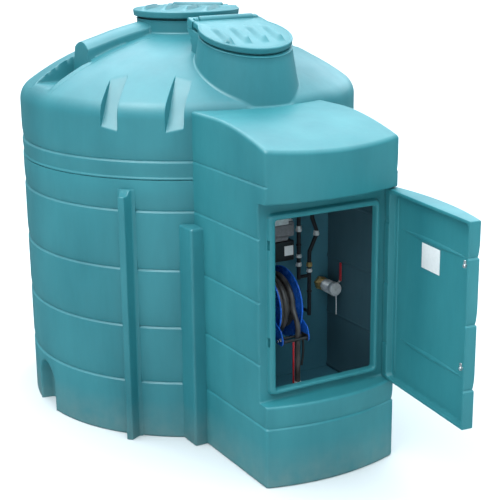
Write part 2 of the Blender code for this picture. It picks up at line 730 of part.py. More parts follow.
def make_recessed_front():
    """The set-back front round the opening, in four flat pieces."""
    left, right = CAB_LEFT + CAB_SKIN + GAP, CAB_RIGHT - CAB_SKIN - GAP
    back, face = RECESS_Y + 2 * GAP, RECESS_Y + 2 * GAP + CAB_SKIN
    low, high = SILL_Z - 0.05, FASCIA_FOOT + 0.05
    inner_left, inner_right, inner_low, inner_high = RIM_INNER
    pieces = {
        "front_panel_left": ((left, low), (inner_left - GAP, high)),
        "front_panel_right": ((inner_right + GAP, low), (right, high)),
        "front_panel_below": ((inner_left, low), (inner_right, inner_low)),
        "front_panel_above": ((inner_left, inner_high), (inner_right, high)),
    }
    for name, ((x0, z0), (x1, z1)) in pieces.items():
        add(name, block((x0, back, z0), (x1, face, z1)), CABINET_GREEN, 0.45)


def make_opening_rim():
    """The raised rim round the opening, with a pocket in its flank for each latch."""
    front = RECESS_Y - RIM_DEPTH
    sections = []
    for y, inset in ((RECESS_Y + GAP, 0.0), (front + 0.008, 0.0), (front, 0.008)):
        left, right, low, high = RIM_OUTER
        outline = rectangle(left + inset, right - inset, low + inset, high - inset)
        sections.append([(x, y, z) for x, z in rounded(outline, 0.045 - inset, 4)])
    rim = add("opening_rim", lofted(sections), CABINET_GREEN, 0.42)
    space = rounded(rectangle(*RIM_INNER), 0.030, 4)
    boolean(rim, helper("opening_space", prism(space, "Y", RECESS_Y - 0.1, RECESS_Y + 0.1)))
    for word, level in LATCH_LEVELS.items():
        left = RIM_OUTER[0]
        pocket = block((left - 0.02, -1.6765, level - 0.016), (left + 0.014, -1.6595, level + 0.038))
        boolean(rim, helper(f"{word}_latch_pocket", pocket))


def make_cabinet_inside():
    left, right = CAB_LEFT + CAB_SKIN + GAP, CAB_RIGHT - CAB_SKIN - GAP
    wall = block((left, BULKHEAD_Y, FLOOR_Z + GAP), (right, BULKHEAD_Y + 0.010, 1.900))
    add("bulkhead", wall, INSIDE_GREEN, 0.6)
    floor = block((left, RECESS_Y + 0.02, FLOOR_Z - 0.012), (right, BULKHEAD_Y, FLOOR_Z))
    add("cabinet_floor", floor, INSIDE_GREEN, 0.6)


def make_buttresses():
    """A box buttress stands between the tank and each side of the cabinet."""
    for side, edge, word in ((-1, CAB_LEFT, "left"), (1, CAB_RIGHT, "right")):
        near = edge + side * GAP
        far = edge + side * BUTTRESS_WIDTH
        back = -0.86
        front = BUTTRESS_REACH
        plan = [
            (near, back), (far, back), (far, front + 0.022), (far - side * 0.006, front + 0.006),
            (far - side * 0.022, front), (near, front),
        ]
        rings = []
        for level, inset in ((0.0, 0.0), (BUTTRESS_HEIGHT - 0.012, 0.0), (BUTTRESS_HEIGHT, 0.010)):
            ring = [(x - side * inset * (x != near), y + inset * (y < back), level) for x, y in plan]
            rings.append(ring)
        buttress = add(f"buttress_{word}", lofted(rings), TANK_GREEN, 0.5)
        tank = rod((0, 0, -0.1), (0, 0, 2.2), TANK_RADIUS + SEAT, ROUND_STEPS)
        boolean(buttress, helper(f"buttress_{word}_tank", tank))


def door_frame():
    """Where the door stands at rest: swung open about its hinge."""
    hinge = Vector((DOOR_HINGE_X, DOOR_HINGE_Y, 0.0))
    return Matrix.Translation(hinge) @ Matrix.Rotation(DOOR_OPEN, 4, "Z") @ Matrix.Translation(-hinge)


def door_outline(inset=0.0):
    left, right = CAB_LEFT + 0.004 + inset, CAB_RIGHT - 0.005 - inset
    rear = CAB_CORNER_Y + DOOR_DEPTH
    points = [(right, rear - 0.006), (right - 0.006, rear), (left + 0.006, rear), (left, rear - 0.006)]
    for k in range(11):
        x = left + (right - left) * k / 10
        points.append((x, CAB_CORNER_Y + inset - bow(x, DOOR_BOW, left, right)))
    return points


def door_ridge(level, floor):
    """The back of a front groove, showing as a low lens across the pan."""
    left, right, count = -0.388, 0.228, 8
    half, middle = (right - left) / 2, (right + left) / 2
    upper, lower = [], []
    for k in range(count + 1):
        x = left + (right - left) * k / count
        thick = 0.0015 + 0.010 * (1 - ((x - middle) / half) ** 2)
        upper.append((x, level + thick))
        lower.append((x, level - thick))
    return prism(upper + lower[::-1], "Y", floor - 0.002, floor + 0.005)


def make_door():
    """A moulded door, closed in its own frame and swung open: bowed outside, with a deep pan inside."""
    place = door_frame()
    rear = CAB_CORNER_Y + DOOR_DEPTH
    floor = rear - DOOR_PAN_DEPTH
    body = grooved(door_outline, DOOR_FOOT, DOOR_TOP, GROOVE_LEVELS[1:], 0.006)
    door = add("door_shell", moved(body, place), CABINET_GREEN, 0.42)
    left = CAB_LEFT + 0.004 + DOOR_BORDER
    inside = rectangle(left, DOOR_PAN_RIGHT, DOOR_FOOT + DOOR_BORDER, DOOR_TOP - DOOR_BORDER)
    pan = prism(rounded(inside, 0.03), "Y", floor, rear + 0.1)
    boolean(door, helper("door_pan_space", moved(pan, place)))
    for number, level in enumerate(DOOR_RIDGES, 1):
        boolean(door, helper(f"door_ridge_{number}", moved(door_ridge(level, floor), place)), "UNION")
    plate = block((-0.145, floor + GAP, 1.205), (0.029, floor + 0.002, 1.340))
    add("door_plate", moved(plate, place), (0.85, 0.85, 0.83), 0.5)
    for word, level in LATCH_LEVELS.items():
        make_latch(word, level, place, floor)
    pins = {"lower": (SILL_Z + GAP, DOOR_FOOT + 0.026), "upper": (DOOR_TOP - 0.026, FASCIA_FOOT - GAP)}
    x, y = DOOR_HINGE_X, DOOR_HINGE_Y
    for word, (low, high) in pins.items():
        add(f"{word}_hinge_pin", rod((x, y, low), (x, y, high), 0.005, 12), STEEL, 0.3, 1.0)
        bore = rod((x, y, low - 0.002), (x, y, high + 0.002), 0.0066, 12)
        boolean(door, helper(f"{word}_pin_bore", bore))


def make_latch(word, level, place, floor):
    """A quarter-turn latch: rosette on the pan's floor, spindle, cam pointing up when open, and nut."""
    x = LATCH_X
    parts = [
        rod((x, floor + GAP, level), (x, floor + 0.006, level), 0.013, 16),
        rod((x, floor + 0.003, level), (x, floor + 0.038, level), 0.007, 12),
        block((x - 0.009, floor + 0.030, level - 0.009), (x + 0.009, floor + 0.036, level + CAM_REACH)),
        rod((x, floor + 0.034, level), (x, floor + 0.041, level), 0.010, 6),
    ]
    parts = [moved(part, place) for part in parts]
    joined(f"{word}_latch", parts, colour=STEEL, roughness=0.25, metallic=1.0)


def make_reel():
    """Hose reel: two discs with rolled edges on a hollow core, turning on its axle."""
    half = REEL_WIDTH / 2
    parts = [rod((REEL_X - half, REEL_Y, REEL_Z), (REEL_X + half, REEL_Y, REEL_Z), REEL_CORE, 24)]
    for side in (-1, 1):
        inner = REEL_X + side * (half - DISC_THICK)
        outer = REEL_X + side * half
        parts.append(rod((inner, REEL_Y, REEL_Z), (outer, REEL_Y, REEL_Z), REEL_RADIUS, 36))
    reel = joined("reel_drum", parts, colour=BLUE, roughness=0.35)
    bore = rod((REEL_X - 0.2, REEL_Y, REEL_Z), (REEL_X + 0.2, REEL_Y, REEL_Z), 0.016, 16)
    boolean(reel, helper("reel_bore", bore))
    inner_half = half - DISC_THICK - 0.001
    inner = REEL_CORE + 0.0015
    ring = rectangle(inner, WINDING_RADIUS, -inner_half, inner_half)
    place = Matrix.Translation((REEL_X, REEL_Y, REEL_Z)) @ Matrix.Rotation(math.pi / 2, 4, "Y")
    add("wound_hose", moved(turned(ring, 36), place), BLACK, 0.4)


def make_reel_bracket():
    """A U bracket bolted to the bulkhead, its axle, and the arms that carry the hose guide."""
    back = BULKHEAD_Y - GAP
    arm = REEL_WIDTH / 2 + 0.012
    left, right = REEL_X - arm - 0.004, REEL_X + arm + 0.004
    parts = [block((left, back - 0.004, REEL_Z - 0.06), (right, back, REEL_Z + 0.06))]
    line = [
        (back - 0.001, REEL_Z - 0.055), (back - 0.001, REEL_Z + 0.055), (REEL_Y - 0.02, REEL_Z + 0.022),
        (GUIDE_Y - 0.015, GUIDE_Z + 0.060), (GUIDE_Y - 0.036, GUIDE_Z + 0.010),
        (GUIDE_Y - 0.028, GUIDE_Z - 0.022), (GUIDE_Y + 0.030, GUIDE_Z - 0.020),
        (REEL_Y - 0.02, REEL_Z - 0.035),
    ]
    for side in (-1, 1):
        x0, x1 = sorted((REEL_X + side * arm, REEL_X + side * (arm + 0.004)))
        parts.append(prism(line, "X", x0, x1))
    end = arm + 0.010
    parts.append(rod((REEL_X - end, REEL_Y, REEL_Z), (REEL_X + end, REEL_Y, REEL_Z), 0.010, 16))
    joined("reel_bracket", parts, colour=BLUE, roughness=0.4)


def make_hose_guide():
    """Two rollers between cheek plates, and a clip bar behind them for the red pipe's head."""
    arm = REEL_WIDTH / 2 + 0.012
    left, right = REEL_X - arm + 0.001, REEL_X + arm - 0.001
    front, back = GUIDE_Y - 0.034, GUIDE_Y + 0.034
    low, high = GUIDE_Z - 0.018, GUIDE_Z + 0.018
    parts = [block((x, front, low), (x + 0.006, back, high)) for x in (left, right - 0.006)]
    for y in (GUIDE_Y - 0.025, GUIDE_Y + 0.025):
        parts.append(rod((left + 0.002, y, GUIDE_Z), (right - 0.002, y, GUIDE_Z), 0.0085, 12))
    reach = RED_PIPE_X + 0.008
    parts.append(block((left + 0.002, GUIDE_Y - 0.006, low + 0.002), (reach, GUIDE_Y + 0.006, low + 0.012)))
    joined("hose_guide", parts, colour=BLACK, roughness=0.4)


def smooth_route(points, steps):
    """Points along a smooth curve through the route's own points."""
    route = []
    ends = [points[0]] + points + [points[-1]]
    for a, b, c, d in zip(ends, ends[1:], ends[2:], ends[3:]):
        a, b, c, d = (Vector(p) for p in (a, b, c, d))
        for k in range(steps):
            t = k / steps
            route.append(0.5 * (2 * b + (c - a) * t + (2 * a - 5 * b + 4 * c - d) * t ** 2
                                + (3 * b - a - 3 * c + d) * t ** 3))
    return route + [Vector(points[-1])]


def make_hose_drop():
    """The hose's end: round the winding's front, down between the rollers, to the nozzle."""
    reach = WINDING_RADIUS + HOSE_RADIUS + 0.002
    points = []
    for degrees in (35, 18, 0):
        turn = math.radians(degrees)
        points.append((HOSE_X, REEL_Y - reach * math.cos(turn), REEL_Z + reach * math.sin(turn)))
    points += [(HOSE_X, -1.497, 0.810), (HOSE_X, GUIDE_Y, GUIDE_Z), (HOSE_X, GUIDE_Y, 0.640)]
    points += [(HOSE_X, GUIDE_Y, 0.560), (HOSE_X, GUIDE_Y, HOSE_END_Z)]
    curve = bpy.data.curves.new("hose_drop", "CURVE")
    curve.dimensions = "3D"
    curve.bevel_depth = HOSE_RADIUS
    curve.bevel_resolution = 3
    curve.use_fill_caps = True
    spline = curve.splines.new("POLY")
    route = smooth_route(points, 3)
    spline.points.add(len(route) - 1)
    for place, point in zip(spline.points, route):
        place.co = (*point, 1.0)
    hose = bpy.data.objects.new("hose_drop", curve)
    bpy.context.collection.objects.link(hose)
    curve.materials.append(finish("hose_drop", BLACK, 0.4))


def make_nozzle():
    x, y, top = HOSE_X, GUIDE_Y, HOSE_END_Z - GAP
    parts = [
        rod((x, y, top), (x, y, top - 0.030), 0.019, 8),
        rod((x, y, top - 0.028), (x, y, top - 0.090), 0.021, 16),
        rod((x, y, top - 0.086), (x, y - 0.012, FLOOR_Z + 0.012), 0.010, 12),
        block((x - 0.006, y - 0.052, top - 0.084), (x + 0.006, y - 0.014, top - 0.076)),
        block((x - 0.006, y - 0.052, top - 0.084), (x + 0.006, y - 0.044, top - 0.018)),
    ]
    joined("hose_nozzle", parts, colour=STEEL, roughness=0.4, metallic=1.0)


def make_red_pipe():
    pipe = rod((RED_PIPE_X, GUIDE_Y, FLOOR_Z + GAP), (RED_PIPE_X, GUIDE_Y, GUIDE_Z - 0.016 - GAP), 0.005, 12)
    add("red_pipe", pipe, (0.45, 0.02, 0.03), 0.35)


def make_valve():
    """Ball valve on the outlet: brass stub, silver valve and coupling with its cap, and a side lever."""
    front = BULKHEAD_Y - GAP
    stub = [
        rod((VALVE_X, front, VALVE_Z), (VALVE_X, front - 0.024, VALVE_Z), 0.036, 6),
        rod((VALVE_X, front - 0.022, VALVE_Z), (VALVE_X, -1.128, VALVE_Z), 0.030, 20),
    ]
    joined("valve_body", stub, colour=(0.45, 0.30, 0.10), roughness=0.35, metallic=1.0)
    cap = [
        rod((VALVE_X, -1.1284, VALVE_Z), (VALVE_X, -1.150, VALVE_Z), 0.036, 8),
        rod((VALVE_X, -1.148, VALVE_Z), (VALVE_X, -1.196, VALVE_Z), 0.033, 20),
        rod((VALVE_X, -1.194, VALVE_Z), (VALVE_X, -1.210, VALVE_Z), 0.031, 20),
        rod((VALVE_X, -1.208, VALVE_Z), (VALVE_X, -1.246, VALVE_Z), 0.037, 24),
        block((VALVE_X - 0.004, -1.238, 0.760), (VALVE_X + 0.004, -1.232, 0.842)),
    ]
    joined("valve_cap", cap, colour=STEEL, roughness=0.3, metallic=1.0)
    x, y, z = VALVE_X, LEVER_Y, VALVE_Z
    lever = [
        rod((x + 0.0345, y, z), (x + 0.048, y, z), 0.007, 12),
        block((x + 0.041, y - 0.010, z - 0.010), (x + 0.045, y + 0.010, z + 0.152)),
    ]
    joined("valve_lever", lever, colour=(0.55, 0.02, 0.02), roughness=0.4)


def make_pump():
    """The pump box, the meter above it, a cable tray, and the pipes that run beside them."""
    back = BULKHEAD_Y - GAP
    add("pump_motor", block((-0.200, -1.250, 1.103), (0.012, back, 1.218)), BLACK, 0.5)
    add("meter_box", block((-0.200, -1.240, 1.240), (0.020, back, 1.325)), (0.20, 0.21, 0.22), 0.5)
    add("cable_tray", block((-0.210, -1.255, 1.336), (0.000, back, 1.354)), (0.45, 0.52, 0.52), 0.5)


def make_pipework():
    """Two risers with their unions, tied at the top and held off the bulkhead."""
    y = -1.190
    back = BULKHEAD_Y - GAP
    runs = [
        ((0.080, y, 0.960), (0.080, y, 1.500), 0.013),
        ((0.152, y, 0.730), (0.152, y, 1.120), 0.011),
        ((0.152, y, 1.110), (0.205, y, 1.225), 0.012),
        ((0.205, y, 1.215), (0.170, y, 1.320), 0.012),
        ((0.170, y, 1.310), (0.170, y, 1.500), 0.012),
        ((0.080, y, 1.488), (0.170, y, 1.488), 0.012),
        ((0.080, back, 1.440), (0.080, y, 1.440), 0.011),
        ((0.152, back, 0.750), (0.152, y, 0.750), 0.011),
        ((0.080, y, 0.972), (0.152, y, 0.972), 0.010),
    ]
    collars = [
        (0.080, 1.245, 1.280), (0.080, 1.090, 1.112), (0.080, 1.038, 1.062),
        (0.152, 1.026, 1.052), (0.152, 0.992, 1.014), (0.170, 1.298, 1.326), (0.205, 1.208, 1.236),
    ]
    parts = [rod(start, end, radius, 12) for start, end, radius in runs]
    parts += [rod((x, y, low), (x, y, high), 0.018, 12) for x, low, high in collars]
    joined("pipework", parts, colour=BLACK, roughness=0.45)


def build():
    clear_scene()
    make_base()
    make_walls()
    make_pockets()
    make_roof()
    make_fins()
    make_roof_ribs()
    make_main_manhole()
    make_turret()
    make_cabinet_sides()
    make_cabinet_roof()
    make_fascia()
    make_plinth()
    make_recessed_front()
    make_opening_rim()
    make_cabinet_inside()
    make_buttresses()
    make_door()
    make_reel()
    make_reel_bracket()
    make_hose_guide()
    make_hose_drop()
    make_nozzle()
    make_red_pipe()
    make_valve()
    make_pump()
    make_pipework()


build()
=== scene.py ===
import json
import math

import bmesh
import bpy
import numpy as np
from mathutils import Matrix, Vector


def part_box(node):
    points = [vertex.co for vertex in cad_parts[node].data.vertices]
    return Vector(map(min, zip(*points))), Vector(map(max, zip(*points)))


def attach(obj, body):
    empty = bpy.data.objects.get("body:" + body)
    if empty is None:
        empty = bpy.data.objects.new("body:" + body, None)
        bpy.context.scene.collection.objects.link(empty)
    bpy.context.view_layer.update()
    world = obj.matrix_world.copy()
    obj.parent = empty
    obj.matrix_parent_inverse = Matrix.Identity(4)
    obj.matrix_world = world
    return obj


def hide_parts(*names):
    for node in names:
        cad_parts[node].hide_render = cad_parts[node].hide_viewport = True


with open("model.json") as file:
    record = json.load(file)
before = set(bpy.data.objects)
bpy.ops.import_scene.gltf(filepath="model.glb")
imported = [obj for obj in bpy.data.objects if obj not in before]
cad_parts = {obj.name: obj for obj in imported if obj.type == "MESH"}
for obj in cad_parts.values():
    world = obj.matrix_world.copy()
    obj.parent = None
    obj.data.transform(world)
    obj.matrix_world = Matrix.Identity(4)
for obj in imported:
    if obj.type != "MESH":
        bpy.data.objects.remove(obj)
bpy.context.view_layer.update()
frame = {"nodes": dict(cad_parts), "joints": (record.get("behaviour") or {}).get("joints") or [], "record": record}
joints = {joint["name"]: joint for joint in frame["joints"]}
body = {node: name for name, nodes in frame["record"]["behaviour"]["bodies"].items() for node in nodes}
print("frame loaded:", len(frame["nodes"]), "nodes")


# camera and light

view = {
    "place": (-3.514, -6.868, 3.0366), "yaw": 29.945, "pitch": 15.791, "roll": -0.560,
    "focal": 1215.74, "image": 500, "sensor": 36.0,
}


def makeCamera():
    yaw, pitch, roll = (math.radians(view[k]) for k in ("yaw", "pitch", "roll"))
    ahead = Vector((math.sin(yaw) * math.cos(pitch), math.cos(yaw) * math.cos(pitch), -math.sin(pitch)))
    right = Vector((math.cos(yaw), -math.sin(yaw), 0.0))
    up = right.cross(ahead)
    side = right * math.cos(roll) + up * math.sin(roll)
    over = up * math.cos(roll) - right * math.sin(roll)
    data = bpy.data.cameras.new("camera")
    data.sensor_width = view["sensor"]
    data.lens = view["focal"] / view["image"] * view["sensor"]
    data.clip_end = 100.0
    camera = bpy.data.objects.new("camera", data)
    bpy.context.scene.collection.objects.link(camera)
    turn = Matrix((side, over, -ahead)).transposed().to_4x4()
    camera.matrix_world = Matrix.Translation(view["place"]) @ turn
    bpy.context.scene.camera = camera


light = {
    "sky": ((0.0, (0.15, 0.19, 0.21)), (0.30, (0.32, 0.38, 0.42)), (1.0, (3.2, 3.6, 3.85))),
    "skyPower": 1.0,
    "lamps": {
        "key": {"place": (-5.0, -3.0, 9.0), "size": (5.0, 5.0), "power": 150.0,
                "colour": (1.0, 0.99, 0.97)},
        "glare": {"place": (-3.6, -0.9, 9.4), "size": (5.0, 3.4), "power": 640.0,
                  "colour": (0.88, 0.97, 1.0)},
        "haze": {"place": (2.0, 6.8, 9.8), "size": (8.0, 7.0), "power": 600.0, "colour": (0.74, 0.91, 1.0)},
        "side": {"place": (9.0, 4.0, 5.6), "size": (7.0, 5.0), "power": 330.0, "colour": (0.74, 0.91, 1.0)},
    },
    "shineOnly": ("glare", "haze", "side"), "floor": (0.72, 0.72, 0.715),
}


def makeLight():
    world = bpy.data.worlds.new("sky")
    bpy.context.scene.world = world
    world.use_nodes = True
    tree = world.node_tree
    back = tree.nodes["Background"]
    place = tree.nodes.new("ShaderNodeTexCoord")
    split = tree.nodes.new("ShaderNodeSeparateXYZ")
    tree.links.new(place.outputs["Generated"], split.inputs["Vector"])
    tree.links.new(ramped(tree, split.outputs["Z"], light["sky"]), back.inputs["Color"])
    back.inputs["Strength"].default_value = light["skyPower"]
    bpy.context.scene.view_settings.view_transform = "Standard"
    for name, one in light["lamps"].items():
        lamp = bpy.data.lights.new(name, "AREA")
        lamp.shape = "RECTANGLE"
        lamp.size, lamp.size_y = one["size"]
        lamp.energy = one["power"]
        lamp.color = one["colour"]
        holder = bpy.data.objects.new(name, lamp)
        bpy.context.scene.collection.objects.link(holder)
        holder.location = one["place"]
        aim = Vector((0.0, -0.4, 1.0)) - holder.location
        holder.rotation_euler = aim.to_track_quat("-Z", "Y").to_euler()
        holder.visible_camera = False
        if name in light["shineOnly"]:
            holder.visible_diffuse = False


def makeFloor():
    bm = bmesh.new()
    bmesh.ops.create_grid(bm, x_segments=1, y_segments=1, size=60.0)
    mesh = bpy.data.meshes.new("floor")
    bm.to_mesh(mesh)
    bm.free()
    floor = bpy.data.objects.new("floor", mesh)
    bpy.context.scene.collection.objects.link(floor)
    mesh.materials.append(plain("floor_paint", light["floor"], 0.9))
    floor.visible_glossy = False  # the plastic mirrors the sky's lower half in its place


# materials

def nodesOf(name):
    material = bpy.data.materials.new(name)
    material.use_nodes = True
    tree = material.node_tree
    return material, tree, tree.nodes["Principled BSDF"]


def plain(name, colour, roughness):
    material, _, shader = nodesOf(name)
    shader.inputs["Base Color"].default_value = (*colour, 1.0)
    shader.inputs["Roughness"].default_value = roughness
    return material


def spotted(tree, scale, detail=3.0, stretch=(1.0, 1.0, 1.0)):  # noise in object space, its factor socket
    place = tree.nodes.new("ShaderNodeTexCoord")
    mapping = tree.nodes.new("ShaderNodeMapping")
    mapping.inputs["Scale"].default_value = stretch
    noise = tree.nodes.new("ShaderNodeTexNoise")
    noise.inputs["Scale"].default_value = scale
    noise.inputs["Detail"].default_value = detail
    tree.links.new(place.outputs["Object"], mapping.inputs["Vector"])
    tree.links.new(mapping.outputs["Vector"], noise.inputs["Vector"])
    return noise.outputs["Fac"]


def ramped(tree, factor, stops):
    ramp = tree.nodes.new("ShaderNodeValToRGB")
    line = ramp.color_ramp
    while len(line.elements) < len(stops):
        line.elements.new(0.5)
    for element, (place, colour) in zip(line.elements, stops):
        element.position = place
        element.color = (*colour, 1.0)
    tree.links.new(factor, ramp.inputs["Fac"])
    return ramp.outputs["Color"]


def mixed(tree, kind, amount, first, second):
    blend = tree.nodes.new("ShaderNodeMix")
    blend.data_type = "RGBA"
    blend.blend_type = kind
    blend.inputs["Factor"].default_value = amount
    tree.links.new(first, blend.inputs["A"])
    tree.links.new(second, blend.inputs["B"])
    return blend.outputs["Result"]


def ranged(tree, factor, low, high):
    span = tree.nodes.new("ShaderNodeMapRange")
    span.inputs["To Min"].default_value = low
    span.inputs["To Max"].default_value = high
    tree.links.new(factor, span.inputs["Value"])
    return span.outputs["Result"]


def bumped(tree, shader, layers):  # stacked bumps, each (height socket, strength, distance)
    last = None
    for height, strength, distance in layers:
        bump = tree.nodes.new("ShaderNodeBump")
        bump.inputs["Strength"].default_value = strength
        bump.inputs["Distance"].default_value = distance
        tree.links.new(height, bump.inputs["Height"])
        if last:
            tree.links.new(last, bump.inputs["Normal"])
        last = bump.outputs["Normal"]
    tree.links.new(last, shader.inputs["Normal"])


mouldedFinish = {
    "tank": {"deep": (0.016, 0.162, 0.190), "pale": (0.034, 0.228, 0.260), "rough": (0.38, 0.50)},
    "cabinet": {"deep": (0.017, 0.176, 0.204), "pale": (0.036, 0.244, 0.272), "rough": (0.38, 0.50)},
    # inside: a copy of the moulded plastic coloured for the bulkhead and floor as they look in the cabinet's
    # shade, painted shade; shade: a darker copy for the shell's inner faces, painted shade
    "inside": {"deep": (0.044, 0.170, 0.222), "pale": (0.064, 0.232, 0.300), "rough": (0.55, 0.70)},
    "shade": {"deep": (0.042, 0.106, 0.130), "pale": (0.062, 0.146, 0.178), "rough": (0.55, 0.70)},
    "cloudScale": 2.2, "cloudStretch": (1.0, 1.0, 0.35), "grainScale": 55.0, "grainSize": 0.0006,
    "swellScale": 5.0, "swellSize": 0.006, "footGrey": (0.26, 0.30, 0.27), "footReach": 0.24,
}


# rotationally moulded polyethylene: cloudy colour, fine grain, slow swells, a patchy pale grey towards the foot
def mouldedPlastic(name, kind):
    look = mouldedFinish[kind]
    material, tree, shader = nodesOf(name)
    clouds = spotted(tree, mouldedFinish["cloudScale"], 5.0, mouldedFinish["cloudStretch"])
    colour = ramped(tree, clouds, [(0.32, look["deep"]), (0.68, look["pale"])])
    flecks = spotted(tree, 38.0, 2.0, (1.0, 1.0, 0.25))
    speckle = ramped(tree, flecks, [(0.35, (0.72,) * 3), (0.62, (1.0,) * 3)])
    colour = mixed(tree, "MULTIPLY", 0.10, colour, speckle)
    place = tree.nodes.new("ShaderNodeTexCoord")
    split = tree.nodes.new("ShaderNodeSeparateXYZ")
    tree.links.new(place.outputs["Object"], split.inputs["Vector"])
    # a noisy pale grey mixed in below footReach, stronger towards the ground
    height = tree.nodes.new("ShaderNodeMapRange")
    height.inputs["From Max"].default_value = mouldedFinish["footReach"]
    height.inputs["To Min"].default_value = 0.42
    height.inputs["To Max"].default_value = 0.0
    tree.links.new(split.outputs["Z"], height.inputs["Value"])
    footShare = tree.nodes.new("ShaderNodeMath")
    footShare.operation = "MULTIPLY"
    tree.links.new(height.outputs["Result"], footShare.inputs[0])
    tree.links.new(ranged(tree, spotted(tree, 14.0, 4.0), 0.0, 1.3), footShare.inputs[1])
    footMix = tree.nodes.new("ShaderNodeMix")
    footMix.data_type = "RGBA"
    footMix.inputs["B"].default_value = (*mouldedFinish["footGrey"], 1.0)
    tree.links.new(footShare.outputs["Value"], footMix.inputs["Factor"])
    tree.links.new(colour, footMix.inputs["A"])
    tree.links.new(footMix.outputs["Result"], shader.inputs["Base Color"])
    tree.links.new(ranged(tree, spotted(tree, 9.0, 4.0), *look["rough"]), shader.inputs["Roughness"])
    bumped(tree, shader, [
        (spotted(tree, mouldedFinish["swellScale"], 1.0), 0.5, mouldedFinish["swellSize"]),
        (spotted(tree, mouldedFinish["grainScale"], 3.0), 0.5, mouldedFinish["grainSize"]),
    ])
    return material


def paintedMetal(name, colour, roughness, metallic=0.0, scratch=0.25):
    material, tree, shader = nodesOf(name)
    wear = spotted(tree, 60.0, 4.0)
    darker = tuple(c * (1 - scratch) for c in colour)
    tree.links.new(ramped(tree, wear, [(0.30, darker), (0.62, colour)]), shader.inputs["Base Color"])
    tree.links.new(ranged(tree, spotted(tree, 25.0), roughness * 0.8, roughness * 1.25),
                   shader.inputs["Roughness"])
    shader.inputs["Metallic"].default_value = metallic
    bumped(tree, shader, [(spotted(tree, 240.0), 0.25, 0.0004)])
    return material


def rubber(name, colour, roughness):
    material, tree, shader = nodesOf(name)
    cloud = spotted(tree, 18.0, 4.0)
    paler = tuple(min(1.0, c * 2.2 + 0.01) for c in colour)
    tree.links.new(ramped(tree, cloud, [(0.35, colour), (0.75, paler)]), shader.inputs["Base Color"])
    tree.links.new(ranged(tree, spotted(tree, 40.0), roughness * 0.85, roughness * 1.2),
                   shader.inputs["Roughness"])
    bumped(tree, shader, [(spotted(tree, 420.0, 2.0), 0.3, 0.0003)])
    return material


finishes = {
    "tank_plastic": mouldedPlastic("tank_plastic_look", "tank"),
    "cabinet_plastic": mouldedPlastic("cabinet_plastic_look", "cabinet"),
    # inside and shaded plastic: copies coloured for the cabinet's shaded interior, painted shade
    "inside_plastic": mouldedPlastic("inside_shade_plastic_look", "inside"),
    "shaded_plastic": mouldedPlastic("shaded_plastic_look", "shade"),
    "chrome": paintedMetal("chrome_look", (0.90, 0.91, 0.92), 0.16, 0.75, 0.10),
    "blue_paint": paintedMetal("blue_paint_look", (0.014, 0.140, 0.660), 0.26, 0.0, 0.30),
    "hose_rubber": rubber("hose_rubber_look", (0.040, 0.036, 0.034), 0.30),
    "black_paint": paintedMetal("black_paint_look", (0.022, 0.022, 0.024), 0.36, 0.0, 0.35),
    "black_plastic": rubber("black_plastic_look", (0.015, 0.016, 0.017), 0.42),
    "grey_plastic": paintedMetal("grey_plastic_look", (0.230, 0.225, 0.235), 0.45, 0.0, 0.25),
    "white_card": paintedMetal("white_card_look", (0.78, 0.79, 0.78), 0.55, 0.0, 0.06),
    "brass": paintedMetal("brass_look", (0.62, 0.43, 0.17), 0.34, 0.55, 0.40),
    "aluminium": paintedMetal("aluminium_look", (0.88, 0.88, 0.87), 0.30, 0.40, 0.22),
    "red_sleeve": paintedMetal("red_sleeve_look", (0.62, 0.028, 0.036), 0.30, 0.0, 0.20),
}
slotOf = {part["node"]: part["material_slot"] for part in frame["record"]["subparts"]}
for node, thing in frame["nodes"].items():
    for place in range(len(thing.material_slots)):
        thing.material_slots[place].material = finishes[slotOf[node]]
print("materials ready:", len(finishes))


# making meshes

# a mesh piece in the frame, with its finish, its body and the CAD nodes that it stands for
def piece(name, points, faces, look, rides, stands=(), smooth=True):
    mesh = bpy.data.meshes.new(name)
    mesh.from_pydata([tuple(p) for p in points], [], faces)
    mesh.update()
    return dressed(name, mesh, look, rides, stands, smooth)


def dressed(name, mesh, look, rides, stands=(), smooth=True):
    thing = bpy.data.objects.new(name, mesh)
    bpy.context.scene.collection.objects.link(thing)
    if smooth:
        mesh.shade_smooth()
    mesh.materials.append(finishes[look])
    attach(thing, rides)
    if stands:
        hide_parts(*stands)
    return thing


# welds what meets, drops what has no area and turns the faces out
def tidied(thing, distance=0.0002, outwards=True):
    bm = bmesh.new()
    bm.from_mesh(thing.data)
    bmesh.ops.remove_doubles(bm, verts=bm.verts, dist=distance)
    bmesh.ops.dissolve_degenerate(bm, edges=bm.edges, dist=distance * 0.5)
    if outwards:
        bmesh.ops.recalc_face_normals(bm, faces=bm.faces)
    bm.to_mesh(thing.data)
    bm.free()
    thing.data.shade_smooth()
    return thing


def applied(thing, kind, **settings):  # adds a modifier, sets it and bakes its result into the mesh
    step = thing.modifiers.new(kind.lower(), kind)
    for key, value in settings.items():
        setattr(step, key, value)
    graph = bpy.context.evaluated_depsgraph_get()
    made = bpy.data.meshes.new_from_object(thing.evaluated_get(graph))
    thing.modifiers.clear()
    thing.data = made
    return thing


def carved(thing, cutters):  # cuts closed meshes out of a piece and throws the cutters away
    for cutter in cutters:
        applied(thing, "BOOLEAN", operation="DIFFERENCE", solver="EXACT", object=cutter)
        bpy.data.objects.remove(cutter, do_unlink=True)
    return thing


def loose(points, faces):  # a cutter: a closed mesh that no render shows
    mesh = bpy.data.meshes.new("cutter")
    mesh.from_pydata([tuple(p) for p in points], [], faces)
    cutter = bpy.data.objects.new("cutter", mesh)
    bpy.context.scene.collection.objects.link(cutter)
    tidied(cutter)
    return cutter


def sharpened(thing, degrees=30.0):
    thing.data.set_sharp_from_angle(angle=math.radians(degrees))
    return thing


